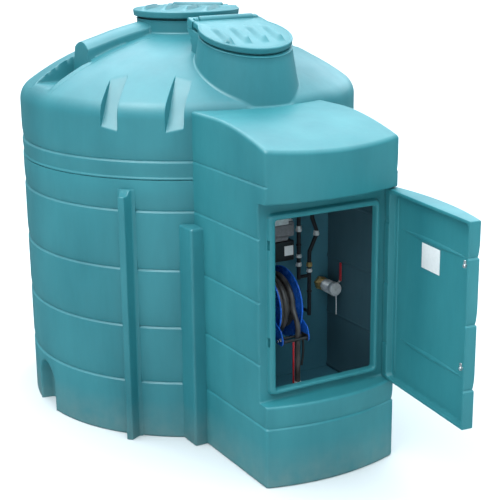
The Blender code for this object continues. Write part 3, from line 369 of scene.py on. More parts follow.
# faces of stacked closed rings that have the same number of points
def ringFaces(rings, around, cap=True, start=0):
    faces = []
    for r in range(rings - 1):
        for i in range(around):
            j = (i + 1) % around
            low, high = start + r * around, start + (r + 1) * around
            faces.append((low + i, low + j, high + j, high + i))
    if cap:
        faces.append(tuple(reversed(range(start, start + around))))
        faces.append(tuple(range(start + (rings - 1) * around, start + rings * around)))
    return faces


def lofted(rings, cap=True):
    return [p for ring in rings for p in ring], ringFaces(len(rings), len(rings[0]), cap)


def gridded(rows):  # points and faces of an open grid, given as rows of as many points each
    across = len(rows[0])
    faces = []
    for r in range(len(rows) - 1):
        for i in range(across - 1):
            here = r * across + i
            faces.append((here, here + 1, here + across + 1, here + across))
    return [p for row in rows for p in row], faces


# a (radius, z) line turned round the Z axis. A closed line makes a ring, an open one a bowl
def turned(profile, steps, start=0.0, closed=True):
    around = len(profile)
    rings = []
    for k in range(steps):
        angle = start + 2 * math.pi * k / steps
        rings.append([(r * math.cos(angle), r * math.sin(angle), z) for r, z in profile])
    faces = []
    for k in range(steps):
        now, after = k * around, (k + 1) % steps * around
        for i in range(around if closed else around - 1):
            j = (i + 1) % around
            faces.append((now + i, after + i, after + j, now + j))
    return [p for ring in rings for p in ring], faces


def placed(points, place):
    return [place @ Vector(p) for p in points]


def merged(parts):  # several (points, faces) as one
    points, faces = [], []
    for more, some in parts:
        shift = len(points)
        points += list(more)
        faces += [tuple(i + shift for i in face) for face in some]
    return points, faces


def tube(path, radius, sides=12, cap=True):  # a round tube along a path, with no twist
    path = [Vector(p) for p in path]
    rings = []
    side = None
    for i, here in enumerate(path):
        ahead = (path[min(i + 1, len(path) - 1)] - path[max(i - 1, 0)]).normalized()
        if side is None:
            side = ahead.orthogonal().normalized()
        side = (side - ahead * side.dot(ahead)).normalized()
        up = ahead.cross(side)
        size = radius[i] if hasattr(radius, "__len__") else radius
        ring = []
        for k in range(sides):
            turn = 2 * math.pi * k / sides
            ring.append(here + (side * math.cos(turn) + up * math.sin(turn)) * size)
        rings.append(ring)
    return lofted(rings, cap)


# a (distance along, radius) line turned about an axis that leaves start
def lathe(line, start, ahead, sides=32):
    ahead = Vector(ahead).normalized()
    side = ahead.orthogonal().normalized()
    up = ahead.cross(side)
    rings = []
    for along, radius in line:
        centre = Vector(start) + ahead * along
        turns = [2 * math.pi * k / sides for k in range(sides)]
        rings.append([centre + (side * math.cos(turn) + up * math.sin(turn)) * radius for turn in turns])
    return lofted(rings)


def softBox(low, high, edge, turn=None):  # a box with rounded edges
    bm = bmesh.new()
    low, high = Vector(low), Vector(high)
    bmesh.ops.create_cube(bm, size=1.0, matrix=Matrix.LocRotScale((low + high) / 2, None, high - low))
    bmesh.ops.bevel(bm, geom=bm.edges, offset=edge, segments=3, profile=0.5, affect="EDGES")
    if turn is not None:
        bmesh.ops.transform(bm, matrix=turn, verts=bm.verts)
    points = [v.co.copy() for v in bm.verts]
    faces = [tuple(v.index for v in f.verts) for f in bm.faces]
    bm.free()
    return points, faces


# a rectangle with round corners, anticlockwise from its lower right corner
def roundedOutline(left, right, low, high, radius, steps=6):
    points = []
    for cx, cy, first in ((right, low, -90), (right, high, 0), (left, high, 90), (left, low, 180)):
        x = cx - radius if cx == right else cx + radius
        y = cy + radius if cy == low else cy - radius
        for k in range(steps + 1):
            angle = math.radians(first + 90 * k / steps)
            points.append((x + radius * math.cos(angle), y + radius * math.sin(angle)))
    return points


def mix(a, b, t):
    return a + (b - a) * t


def softStep(t):
    t = min(max(t, 0.0), 1.0)
    return t * t * (3 - 2 * t)


def softMax(a, b, reach):  # the larger of two, with a rounded meeting
    h = max(reach - abs(a - b), 0.0) / reach
    return max(a, b) + h * h * reach * 0.25


def softMin(a, b, reach):
    return -softMax(-a, -b, reach)


# the tank

tank = {
    "radius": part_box("wall_left")[0].x * -1, "grooves": (0.347, 0.690, 1.036, 1.382), "bandLine": 1.670,
    "skirtFoot": 1.563, "seam": 0.0016, "shoulder": (1.901, 0.120), "shoulderSlope": math.radians(36.0),
    "dome": 1.610, "slope": math.radians(17.0), "neckHole": 0.268, "thick": 0.012, "footEdge": 0.015,
    "steps": 256,
}
groove = {"depth": 0.0120, "below": 0.0095, "above": 0.0900}
grooveLine = (
    (-1.20, 0.0), (-1.06, 0.02), (-0.96, 0.09), (-0.84, 0.21), (-0.42, 0.60), (-0.08, 0.93), (0.005, 0.995),
    (0.014, 1.0), (0.022, 0.96), (0.030, 0.84), (0.042, 0.74), (0.070, 0.66), (0.16, 0.50), (0.34, 0.30),
    (0.60, 0.11), (0.82, 0.02), (1.0, 0.0),
)


def grooveSteps(level):  # (height, depth) up a moulded step: a ledge, a short lip and a long way out again
    steps = []
    for t, deep in grooveLine:
        reach = groove["below"] if t < 0 else groove["above"]
        steps.append((level + t * reach, deep * groove["depth"]))
    return steps


def roofHub():  # the centre of the dome's arc
    z, radius = tank["shoulder"]
    turn = math.pi / 2 - tank["shoulderSlope"]
    apart = tank["dome"] - radius
    return tank["radius"] - radius - apart * math.cos(turn), z - apart * math.sin(turn)


def roofArc():  # the shoulder's tight arc, then the dome's wide one
    z, radius = tank["shoulder"]
    centre = tank["radius"] - radius
    turn, last = math.pi / 2 - tank["shoulderSlope"], math.pi / 2 - tank["slope"]
    hub = roofHub()
    line = []
    for k in range(19):
        line.append((centre + radius * math.cos(turn * k / 18), z + radius * math.sin(turn * k / 18)))
    for k in range(1, 31):
        angle = mix(turn, last, k / 24 * 0.42 if k < 24 else 0.42 + (k - 24) / 6 * 0.58)
        line.append((hub[0] + tank["dome"] * math.cos(angle), hub[1] + tank["dome"] * math.sin(angle)))
    return line


def roofZ(radius):  # height of the roof's own surface at a radius
    z, size = tank["shoulder"]
    centre = tank["radius"] - size
    hub = roofHub()
    top = hub[0] + tank["dome"] * math.sin(tank["slope"])
    if radius >= centre + size * math.sin(tank["shoulderSlope"]):
        return z + math.sqrt(max(size * size - (radius - centre) ** 2, 0.0))
    if radius >= top:
        return hub[1] + math.sqrt(tank["dome"] ** 2 - (radius - hub[0]) ** 2)
    return hub[1] + tank["dome"] * math.cos(tank["slope"]) + (top - radius) * math.tan(tank["slope"])


def makeWall():
    r = tank["radius"]
    top = tank["skirtFoot"] - tank["seam"]
    edge = tank["footEdge"]
    line = [(r - edge, 0.0), (r - edge * 0.35, edge * 0.12), (r - edge * 0.08, edge * 0.45), (r, edge)]
    for level in tank["grooves"]:
        line += [(r - deep, z) for z, deep in grooveSteps(level)]
    line += [(r, top - 0.006), (r - 0.0015, top - 0.0015), (r - 0.006, top)]
    inside = r - 2 * tank["thick"]
    points, faces = turned([(inside, 0.0)] + line + [(inside, top)], tank["steps"])
    wall = piece("tank_wall", points, faces, "tank_plastic", "tank",
                 ("wall_front", "wall_left", "wall_back", "wall_right"))
    tidied(wall)
    cutters = []
    for side in (-1, 1):
        outline = archOutline(pocket["half"] + 0.006, pocket["height"] + 0.006)
        rings = [[(side * x, y, z) for y, z in outline] for x in (r - 0.2, r + 0.2)]
        cutters.append(loose(*lofted(rings)))
    carved(wall, cutters)
    sharpened(wall, 40)


pocket = {"half": 0.120, "height": 0.294, "depth": 0.085, "draft": 0.010}


def archOutline(half, height, steps=20):  # an arch in (y, z), with legs that run a little under the ground
    spring = height - half
    line = [(half, -0.02), (half, spring * 0.5)]
    for k in range(steps + 1):
        angle = math.pi * k / steps
        line.append((half * math.cos(angle), spring + half * math.sin(angle)))
    return line + [(-half, spring * 0.5), (-half, -0.02)]


def makePockets():
    r = tank["radius"]
    for side, word in ((-1, "left"), (1, "right")):
        rings = []
        steps = ((0.012, None, 0.0004), (0.008, None, 0.0), (0.004, 0.002, 0.0), (0.0, 0.008, 0.0),
                 (-0.002, 0.016, 0.0), (-pocket["draft"], pocket["depth"] - 0.018, 0.0),
                 (-pocket["draft"] - 0.006, pocket["depth"] - 0.006, 0.0),
                 (-pocket["draft"] - 0.020, pocket["depth"] - 0.001, 0.0))
        for grow, depth, proud in steps:
            ring = []
            for y, z in archOutline(pocket["half"] - 0.002 + grow, pocket["height"] - 0.002 + grow):
                surface = math.sqrt(r * r - y * y)
                x = surface + proud if depth is None else surface - depth
                ring.append((side * x, y, max(z, 0.0)))
            rings.append(ring)
        points, faces = lofted(rings, cap=False)
        around = len(rings[0])
        last = (len(rings) - 1) * around
        faces.append(tuple(range(last, last + around)))
        faces = [f for f in faces if not onGround(points, f)]
        niche = piece(f"tie_pocket_{word}_niche", points, faces, "tank_plastic", "tank",
                      (f"tie_pocket_{word}",))
        tidied(niche)
        faceAway(niche, Vector((side * (r - 0.2), 0.0, 0.15)), inward=True)


def onGround(points, face):
    return all(abs(points[i][2]) < 0.0001 for i in face)


# turns a thin skin's faces to look away from a point, or towards it
def faceAway(thing, centre, inward=False):
    bm = bmesh.new()
    bm.from_mesh(thing.data)
    bm.normal_update()
    total = sum(f.normal.dot(f.calc_center_median() - centre) * f.calc_area() for f in bm.faces)
    if (total < 0) != inward:
        bmesh.ops.reverse_faces(bm, faces=bm.faces)
    bm.to_mesh(thing.data)
    bm.free()


flats = {
    "pairs": (41.9, 221.9), "apart": 0.190, "half": 0.050, "low": (1.033, 1.841), "high": (0.826, 2.088),
    "edge": 0.005, "round": 0.004, "reach": 0.264, "straight": 0.79,
}


# how far in a pair of flats cuts the shoulder here, along and across the pair's own line
def flatDepth(along, z, across):
    low, high = Vector(flats["low"]), Vector(flats["high"])
    way = (high - low).normalized()
    out = Vector((way.y, -way.x))
    away = (Vector((along, z)) - low).dot(out)
    beside = abs(abs(across) - flats["apart"])
    wall = softStep((flats["half"] + flats["edge"] / 2 - beside) / flats["edge"])
    return softMax(away, 0.0, flats["round"]) * wall if away > -flats["round"] else 0.0, out


# degrees off a pair's middle, on a line that runs beside it and turns to the axis further in
def pairTurn(across, radius):
    return math.degrees(math.asin(across / max(radius, flats["straight"])))


# columns round the roof: (a pair's middle, distance off it) or (middle, share of the way to the
# next pair)
def roofColumns():
    near = (-0.012, -0.006, -0.0035, -0.002, -0.0007, 0.0007, 0.002, 0.0035, 0.006, 0.012)
    marks = [-0.11 + 0.022 * k for k in range(11)]
    for side in (-1, 1):
        marks += [side * (flats["apart"] + off) for off in (-0.025, 0.0, 0.025)]
        marks += [side * (flats["apart"] + wall * flats["half"]) + off for wall in (-1, 1) for off in near]
    marks += [-flats["reach"], flats["reach"]]
    columns = []
    pairs = flats["pairs"]
    for i, middle in enumerate(pairs):
        columns += [(middle, across, None) for across in sorted(marks)]
        after = pairs[(i + 1) % len(pairs)] + (360.0 if i == len(pairs) - 1 else 0.0)
        count = round((after - middle - 2 * pairTurn(flats["reach"], tank["radius"])) / 1.6)
        columns += [(middle, after, k / count) for k in range(1, count)]
    return columns


def roofPoint(column, radius, z):
    middle, other, share = column
    if share is not None:
        edge = pairTurn(flats["reach"], radius)
        turn = math.radians(mix(middle + edge, other - edge, share))
        return (-math.sin(turn) * radius, -math.cos(turn) * radius, z)
    off = math.radians(pairTurn(other, radius))
    turn = math.radians(middle) + off
    x, y = -math.sin(turn) * radius, -math.cos(turn) * radius
    depth, out = flatDepth(radius * math.cos(off), z, radius * math.sin(off))
    ahead = math.radians(middle)
    return (x + math.sin(ahead) * out.x * depth, y + math.cos(ahead) * out.x * depth, z - out.y * depth)


def makeRoof():
    r = tank["radius"]
    foot, band = tank["skirtFoot"], tank["bandLine"]
    line = [(r - 0.010, foot), (r - 0.0035, foot + 0.0003), (r - 0.0008, foot + 0.0015), (r, foot + 0.004)]
    line += [(r, foot + 0.007), (r - 0.0008, foot + 0.0090), (r - 0.0050, foot + 0.0140),
             (r - 0.0056, foot + 0.0160)]
    line += [(r - 0.0050, foot + 0.024), (r - 0.0030, foot + 0.045), (r - 0.0008, foot + 0.070),
             (r, foot + 0.085)]
    line += [(r - deep, z) for z, deep in grooveSteps(band)]
    line += [(r, z) for z in (1.79, 1.82, 1.828, 1.834, 1.839, 1.844, 1.849, 1.854, 1.860, 1.868, 1.88)]
    line += roofArc()
    top = line[-1][0]
    for k in range(1, 11):
        radius = mix(top, tank["neckHole"], k / 10)
        line.append((radius, roofZ(radius)))
    columns = roofColumns()
    points = [roofPoint(column, radius, z) for column in columns for radius, z in line]
    rows = len(line)
    faces = []
    for c in range(len(columns)):
        d = (c + 1) % len(columns)
        for i in range(rows - 1):
            face = (c * rows + i, c * rows + i + 1, d * rows + i + 1, d * rows + i)
            if not inTurretHole([points[k] for k in face]):
                faces.append(face)
    roof = piece("tank_roof", points, faces, "tank_plastic", "tank",
                 ("roof_front", "roof_left", "roof_back", "roof_right"))
    tidied(roof)
    for side in (-1, 1):
        openUnder(roof, side)
    applied(roof, "SOLIDIFY", thickness=tank["thick"], offset=-1.0, use_even_offset=False)
    roof.data.shade_smooth()
    sharpened(roof, 50)


turretPlace = {
    "y": -0.727, "bore": 0.225, "foot": 0.328, "footZ": 1.9515, "taper": 0.1741,
    "tilt": math.radians(15.2), "lidTop": 2.342, "lidRim": 0.050,
}


def inTurretHole(corners):
    middle, reach = turretPlace["y"], turretPlace["bore"] + 0.012
    return any(math.hypot(x, y - middle) < reach and z > 1.9 for x, y, z in corners)


def openUnder(roof, side):  # takes the roof's own skin away under one side's rib and channel
    bm = bmesh.new()
    bm.from_mesh(roof.data)
    half, start, end = sideForm["half"] - 0.006, sideForm["start"] + 0.02, sideForm["end"] - 0.006
    planes = (((0, half, 0), (0, 1, 0)), ((0, -half, 0), (0, 1, 0)), ((side * start, 0, 0), (1, 0, 0)),
              ((side * end, 0, 0), (1, 0, 0)))
    for spot, normal in planes:
        near = [f for f in bm.faces if side * f.calc_center_median().x > 0.2
                and abs(f.calc_center_median().y) < 0.25
                and f.calc_center_median().z > 1.9]
        geometry = set(near)
        for f in near:
            geometry.update(f.edges)
            geometry.update(f.verts)
        bmesh.ops.bisect_plane(bm, geom=list(geometry), plane_co=spot, plane_no=normal, dist=0.00001)
    gone = []
    for f in bm.faces:
        c = f.calc_center_median()
        if start < side * c.x < end and abs(c.y) < half and c.z > 1.9:
            gone.append(f)
    bmesh.ops.delete(bm, geom=gone, context="FACES")
    bm.to_mesh(roof.data)
    bm.free()


sideForm = {
    "half": 0.172, "start": 0.290, "end": 1.000, "channelHalf": 0.122, "channelEnd": 0.720, "floor": 2.018,
    "steep": 9.0, "ribHalf": 0.100, "ribEnd": 0.712, "crown": 0.036, "soft": 0.010, "lip": 0.008,
    "lipWidth": 0.016, "edgeLine": ((0.270, 2.340), (0.400, 2.314), (0.500, 2.290), (0.600, 2.261),
                                    (0.712, 2.229)),
    "underLid": (0.342, 2.362),
}


def alongLine(line, x):
    for (x0, z0), (x1, z1) in zip(line, line[1:]):
        if x <= x1:
            return mix(z0, z1, softStep((x - x0) / (x1 - x0)) if x1 - x0 < 0.05 else (x - x0) / (x1 - x0))
    return line[-1][1]


# the roof at one side: its own slope, less the channel with its low lip, plus the crowned rib
def sideHeight(x, y):
    form = sideForm
    radius = math.hypot(x, y)
    steep = form["steep"]
    beyond = (abs(y) - form["channelHalf"] - form["lipWidth"] * 0.9) / form["lipWidth"]
    lip = form["lip"] * math.exp(-beyond * beyond) * softStep((x - form["channelEnd"] + 0.02) / 0.04)
    base = roofZ(radius) + lip * softStep((form["end"] - 0.01 - x) / 0.04)
    walls = max((abs(y) - form["channelHalf"]) * steep, (form["channelEnd"] - x) * steep)
    cut = softMax(form["floor"], form["floor"] + walls, 0.030)
    z = softMin(base, cut, form["soft"])
    edge = alongLine(form["edgeLine"], max(x, form["edgeLine"][0][0]))
    top = edge + form["crown"] * (1 - min(abs(y) / form["ribHalf"], 1.0) ** 2.3)
    flank = top - max(abs(y) - form["ribHalf"], 0.0) * steep
    end = edge + form["crown"] + 0.004 - (x - form["ribEnd"] + 0.002) * steep * 2.2
    rib = softMin(softMin(flank, top, 0.012), end, 0.014)
    reach, high = form["underLid"]
    rib = softMin(rib, high + max(radius - reach, 0.0) * 6.0, 0.006)
    return softMax(z, rib, 0.012)


def makeSides():  # a skin over each side of the roof with its rib and its channel
    half = sideForm["half"]
    marks = [0.0, 0.02, 0.04, 0.06, 0.075, 0.085, 0.091, 0.095, 0.098, 0.100, 0.102, 0.104, 0.106, 0.109,
             0.112, 0.115, 0.118, 0.121, 0.1235, 0.126, 0.129, 0.1325, 0.1365, 0.142, 0.149, 0.157, 0.165,
             half]
    ys = [-y for y in reversed(marks[1:])] + marks
    xs = list(np.linspace(sideForm["start"], 0.36, 12)) + list(np.linspace(0.372, 0.66, 18))
    xs += [0.675, 0.686, 0.694, 0.700, 0.7045, 0.7075, 0.7095, 0.711, 0.7125, 0.714, 0.7155, 0.717, 0.719,
           0.7215, 0.725, 0.731, 0.739]
    xs += list(np.linspace(0.750, sideForm["end"], 26))
    for side, word in ((-1, "left"), (1, "right")):
        rows = []
        for x in xs:
            row = []
            for y in ys:
                onEdge = abs(y) > half - 0.001 or x > sideForm["end"] - 0.001
                z = roofZ(math.hypot(x, y)) + 0.0006 if onEdge else sideHeight(x, y) + 0.0006
                row.append((side * x, y, z))
            rows.append(row)
        skin = piece(f"roof_side_{word}", *gridded(rows), "tank_plastic", "tank", (f"roof_rib_{word}",))
        faceAway(skin, Vector((side * 0.6, 0.0, 1.0)))
        applied(skin, "SOLIDIFY", thickness=0.006, offset=-1.0, use_even_offset=False)
        skin.data.shade_smooth()
        sharpened(skin, 60)


# the cabinet

cabinet = {
    "left": -0.463, "right": 0.373, "frontY": -1.728, "bow": 0.070, "recessY": -1.655, "corner": 0.020,
    "backRadius": 1.030, "roofBack": 1.950, "roofFront": 1.858, "fallStart": -1.20, "fallPower": 1.7,
    "edge": 0.020, "sill": 0.473, "fasciaFoot": 1.576, "skin": 0.011, "grooveDepth": 0.0075,
    "bulkheadY": -1.0704,
}
opening = {
    "outer": (-0.412, 0.295, 0.510, 1.510), "inner": (-0.368, 0.268, 0.538, 1.473),
    "outerRound": 0.036, "innerRound": 0.014,
}


def bow(x, depth, left, right):  # how far a bowed face stands out at x
    middle, half = (left + right) / 2, (right - left) / 2
    return depth * (1 - min(abs((x - middle) / half), 1.0) ** 2)


def cabinetTop(y):  # height of the cabinet's roof
    c = cabinet
    t = min(max((y - c["fallStart"]) / (c["frontY"] - c["fallStart"]), 0.0), 1.3)
    return c["roofBack"] - (c["roofBack"] - c["roofFront"]) * t ** c["fallPower"]


# the cabinet's outline in plan, from its left back to its right back
def cabinetRing(side=0.0, front=0.0, recess=0.0):
    c = cabinet
    left, right = c["left"] + side, c["right"] - side

    def faceY(x):
        return mix(c["frontY"] + front - bow(x, c["bow"], c["left"], c["right"]), c["recessY"], recess)

    points = []
    r = mix(c["corner"], 0.010, recess)
    start = faceY(left + r) + r
    backs = {e: -math.sqrt(c["backRadius"] ** 2 - e * e) for e in (left, right)}
    for k in range(18):
        points.append((left, mix(backs[left], start, k / 17)))
    for k in range(1, 6):
        turn = math.pi / 2 * k / 6
        points.append((left + r * (1 - math.cos(turn)), start - r * math.sin(turn)))
    for k in range(33):
        x = mix(left + r, right - r, k / 32)
        points.append((x, faceY(x)))
    start = faceY(right - r) + r
    for k in range(1, 6):
        turn = math.pi / 2 * (1 - k / 6)
        points.append((right - r * (1 - math.cos(turn)), start - r * math.sin(turn)))
    for k in range(18):
        points.append((right, mix(start, backs[right], k / 17)))
    return points


def cabinetSteps():  # (height, side inset, front inset, recess) up the cabinet
    c = cabinet
    sill, foot = c["sill"], c["fasciaFoot"]
    steps = [(0.0, 0.010, 0.010, 0), (0.003, 0.004, 0.004, 0), (0.009, 0.001, 0.001, 0), (0.018, 0, 0, 0)]
    deep = c["grooveDepth"] / groove["depth"]
    for z, inset in grooveSteps(tank["grooves"][0]):
        steps.append((z, inset * deep, inset * deep, 0))
    for k in range(7):
        turn = math.pi / 2 * k / 6
        steps.append((sill - 0.016 * (1 - math.sin(turn)), 0, 0.016 * (1 - math.cos(turn)), 0))
    for t, rise in ((0.70, 0.0), (0.88, 0.001), (0.96, 0.005), (1.0, 0.014)):
        steps.append((sill + rise, 0, 0.016, t))
    for level in tank["grooves"][1:]:
        for z, inset in grooveSteps(level):
            steps.append((z, inset * deep, 0.016, 1))
    for t, fall in ((1.0, 0.014), (0.96, 0.005), (0.88, 0.001), (0.70, 0.0)):
        steps.append((foot - fall, 0, 0.012, t))
    for k in range(7):
        turn = math.pi / 2 * k / 6
        steps.append((foot + 0.012 * (1 - math.cos(turn)), 0, 0.012 * (1 - math.sin(turn)), 0))
    for z, inset in grooveSteps(tank["bandLine"]):
        steps.append((z, inset * deep, 0, 0))
    return steps


def makeCabinetBody():
    c = cabinet
    rings = [[(x, y, z) for x, y in cabinetRing(s, f, r)] for z, s, f, r in cabinetSteps()]
    low = 1.775
    for k in range(6):
        rings.append([(x, y, mix(low, cabinetTop(y) - c["edge"], k / 5)) for x, y in cabinetRing()])
    for k in range(1, 8):
        turn = math.pi / 2 * k / 7
        inset = c["edge"] * (1 - math.cos(turn))
        sunk = c["edge"] * (1 - math.sin(turn))
        rings.append([(x, y, cabinetTop(y) - sunk) for x, y in cabinetRing(inset, inset)])
    points, faces = gridded(rings)
    top = rings[-1]
    sides = 21
    left, right = top[:sides + 1], top[-sides - 1:][::-1]
    front = top[sides:-sides]
    back = []
    for k in range(len(front)):
        x = mix(left[0][0], right[0][0], k / (len(front) - 1))
        back.append((x, -math.sqrt(c["backRadius"] ** 2 - x * x)))
    rows = []
    for j in range(sides + 1):
        v = j / sides
        row = []
        for i in range(len(front)):
            u = i / (len(front) - 1)
            spot = []
            for k in (0, 1):
                edges = mix(back[i][k], front[i][k], v) + mix(left[j][k], right[j][k], u)
                corners = mix(mix(back[0][k], back[-1][k], u), mix(front[0][k], front[-1][k], u), v)
                spot.append(edges - corners)
            row.append((spot[0], spot[1], cabinetTop(spot[1])))
        rows.append(row)
    points, faces = merged([(points, faces), gridded(rows)])
    shell = piece("cabinet_body", points, faces, "cabinet_plastic", "tank", (
        "cabinet_left_wall", "cabinet_right_wall", "cabinet_roof", "fascia", "plinth", "front_panel_left",
        "front_panel_right", "front_panel_below", "front_panel_above"))
    tidied(shell, 0.0003)
    faceAway(shell, Vector((-0.045, -1.35, 1.0)))
    # the shell's inner faces take the darker shaded copy: painted shade
    shell.data.materials.append(finishes["shaded_plastic"])
    applied(shell, "SOLIDIFY", thickness=c["skin"], offset=-1.0, use_even_offset=False, material_offset=1)
    left, right, low, high = opening["inner"]
    outline = roundedOutline(left - 0.004, right + 0.004, low - 0.004, high + 0.004, opening["innerRound"])
    carved(shell, [loose(*lofted([[(x, y, z) for x, z in outline] for y in (-1.70, -1.60)]))])
    shell.data.shade_smooth()
    sharpened(shell, 45)


def makeOpeningRim():
    rings = []
    steps = (
        (-0.007, -0.001), (-0.003, 0.0005), (0.0, 0.003), (0.0015, 0.010), (0.004, 0.018), (0.008, 0.0235),
        (0.013, 0.0262), (0.019, 0.027), (0.029, 0.0268), (0.035, 0.0252), (0.040, 0.0215), (0.0428, 0.016),
        (0.0440, 0.008), (0.0450, -0.014), (0.038, -0.014),
    )
    for inset, height in steps:
        t = inset / 0.045
        box = [mix(a, b, t) for a, b in zip(opening["outer"], opening["inner"])]
        radius = mix(opening["outerRound"], opening["innerRound"], t)
        y = cabinet["recessY"] - height
        rings.append([(x, y, z) for x, z in roundedOutline(*box, radius, 8)])
    around = len(rings[0])
    faces = ringFaces(len(rings), around, cap=False)
    last = (len(rings) - 1) * around
    faces += [(last + i, last + (i + 1) % around, (i + 1) % around, i) for i in range(around)]
    rim = piece("opening_rim_moulding", [p for ring in rings for p in ring], faces, "cabinet_plastic",
                "tank",
                ("opening_rim",))
    tidied(rim)
    cutters = []
    for level in latch["levels"].values():
        low, high = (-0.440, -1.6765, level - 0.016), (-0.386, -1.6595, level + 0.038)
        cutters.append(loose(*softBox(low, high, 0.003)))
    carved(rim, cutters)
    sharpened(rim, 40)


# the door

door = {
    "left": -0.459, "right": 0.368, "foot": 0.479, "top": 1.568, "rear": -1.665, "bow": 0.048,
    "border": 0.018, "panRight": 0.314, "panDepth": 0.036, "ridges": (1.362, 0.738), "groove": 0.008,
    "round": 0.007, "plate": (-0.145, 0.029, 1.205, 1.340),
}
latch = {"levels": {"upper": 1.335, "lower": 0.800}, "x": -0.4205, "cam": 0.0295}


def doorPlace():  # where the door stands at rest, swung open about its hinge
    joint = joints["door_hinge"]
    axis = Vector((joint["pos_m"][0], joint["pos_m"][1], 0.0))
    swing = Matrix.Rotation(math.radians(-joint["range_deg"][0]), 4, "Z")
    return Matrix.Translation(axis) @ swing @ Matrix.Translation(-axis)


def doorRing(inset, z):
    d = door
    left, right, r = d["left"] + inset, d["right"] - inset, 0.008
    rear = d["rear"] - inset * 0.4

    def faceY(x):
        return cabinet["frontY"] + inset - bow(x, d["bow"], d["left"], d["right"])

    points = [(right, mix(rear - 0.005, faceY(right) + r, k / 4)) for k in range(5)]
    for k in range(1, 5):
        turn = math.pi / 2 * k / 5
        points.append((right - r * (1 - math.cos(turn)), faceY(right - r) + r * (1 - math.sin(turn))))
    points += [(mix(right - r, left + r, k / 28), faceY(mix(right - r, left + r, k / 28)))
               for k in range(29)]
    for k in range(1, 5):
        turn = math.pi / 2 * (1 - k / 5)
        points.append((left + r * (1 - math.cos(turn)), faceY(left + r) + r * (1 - math.sin(turn))))
    points += [(left, mix(faceY(left) + r, rear - 0.005, k / 4)) for k in range(5)]
    points += [(left + 0.0015, rear - 0.0015), (left + 0.005, rear)]
    points += [(mix(left + 0.005, right - 0.005, k / 8), rear) for k in range(1, 8)]
    points += [(right - 0.005, rear), (right - 0.0015, rear - 0.0015)]
    return [(x, y, z) for x, y in points]


def makeDoor():
    d = door
    place = doorPlace()
    low, high, r = d["foot"], d["top"], d["round"]
    steps = [(low + r * (1 - math.cos(math.pi / 2 * k / 4)), r * (1 - math.sin(math.pi / 2 * k / 4)))
             for k in range(5)]
    for level in tank["grooves"][1:]:
        steps += [(z, inset * d["groove"] / groove["depth"]) for z, inset in grooveSteps(level)]
    steps += [(high - r * (1 - math.sin(math.pi / 2 * k / 4)), r * (1 - math.cos(math.pi / 2 * k / 4)))
              for k in range(5)]
    points, faces = lofted([doorRing(inset, z) for z, inset in steps])
    shell = piece("door_moulding", placed(points, place), faces, "cabinet_plastic", "door", ("door_shell",))
    tidied(shell)
    floor = d["rear"] - d["panDepth"]
    left, right = d["left"] + d["border"], d["panRight"]
    bottom, top = d["foot"] + d["border"], d["top"] - d["border"]
    rings = []
    for y, inset in ((d["rear"] + 0.02, -0.005), (d["rear"] + 0.001, -0.005), (d["rear"] - 0.0015, -0.002),
                     (d["rear"] - 0.006, 0.0), (floor + 0.010, 0.002), (floor + 0.004, 0.004),
                     (floor + 0.001, 0.009), (floor, 0.016)):
        outline = roundedOutline(left + inset, right - inset, bottom + inset, top - inset,
                                 0.028 - inset * 0.5, 8)
        rings.append([place @ Vector((x, y, z)) for x, z in outline])
    pins = []
    x, y = joints["door_hinge"]["pos_m"][:2]
    for z in (d["foot"], d["top"]):
        pins.append(loose(*lathe([(-0.027, 0.0066), (0.027, 0.0066)], (x, y, z), (0, 0, 1), 16)))
    carved(shell, [loose(*lofted(rings))] + pins)
    shell.data.shade_smooth()
    sharpened(shell, 35)
    parts = [lensRidge(level, floor, place) for level in d["ridges"]]
    parts.append(hingeBead(floor, place))
    beads = piece("door_back_ridges", *merged(parts), "cabinet_plastic", "door")
    tidied(beads, 0.00005)
    x0, x1, z0, z1 = d["plate"]
    plate = softBox((x0, floor + 0.0002, z0), (x1, floor + 0.0020, z1), 0.0007, place)
    blank = piece("door_blank_plate", *plate, "white_card", "door", ("door_plate",))
    sharpened(blank, 40)


def lensRidge(level, floor, place):  # the back of a front groove, showing as a low lens across the pan
    left, right, count = -0.392, 0.232, 32
    middle, half = (left + right) / 2, (right - left) / 2
    rows = []
    for k in range(count + 1):
        x = mix(left, right, k / count)
        wide = 0.0015 + 0.0105 * (1 - ((x - middle) / half) ** 2)
        rise = 0.001 + 0.0055 * (1 - ((x - middle) / half) ** 4)
        rows.append([
            place @ Vector((x, floor - 0.001 + rise * up, level + wide * t))
            for t, up in ((1.5, 0.0), (1.1, 0.25), (0.75, 0.8), (0.4, 1.0), (0.0, 1.05), (-0.4, 1.0),
                          (-0.75, 0.8), (-1.1, 0.25), (-1.5, 0.0))])
    return lofted(rows)


def hingeBead(floor, place):  # the soft upright step beside the hinge
    x = door["panRight"] - 0.030
    rings = []
    for z, size in ((0.515, 0.3), (0.530, 1.0), (1.515, 1.0), (1.530, 0.3)):
        rings.append([place @ Vector((x + a * size, floor - 0.001 + b * size, z)) for a, b in (
            (-0.012, 0.0), (-0.008, 0.0015), (-0.004, 0.005), (0.0, 0.0065), (0.005, 0.005),
            (0.009, 0.0015), (0.013, 0.0))])
    return lofted(rings)


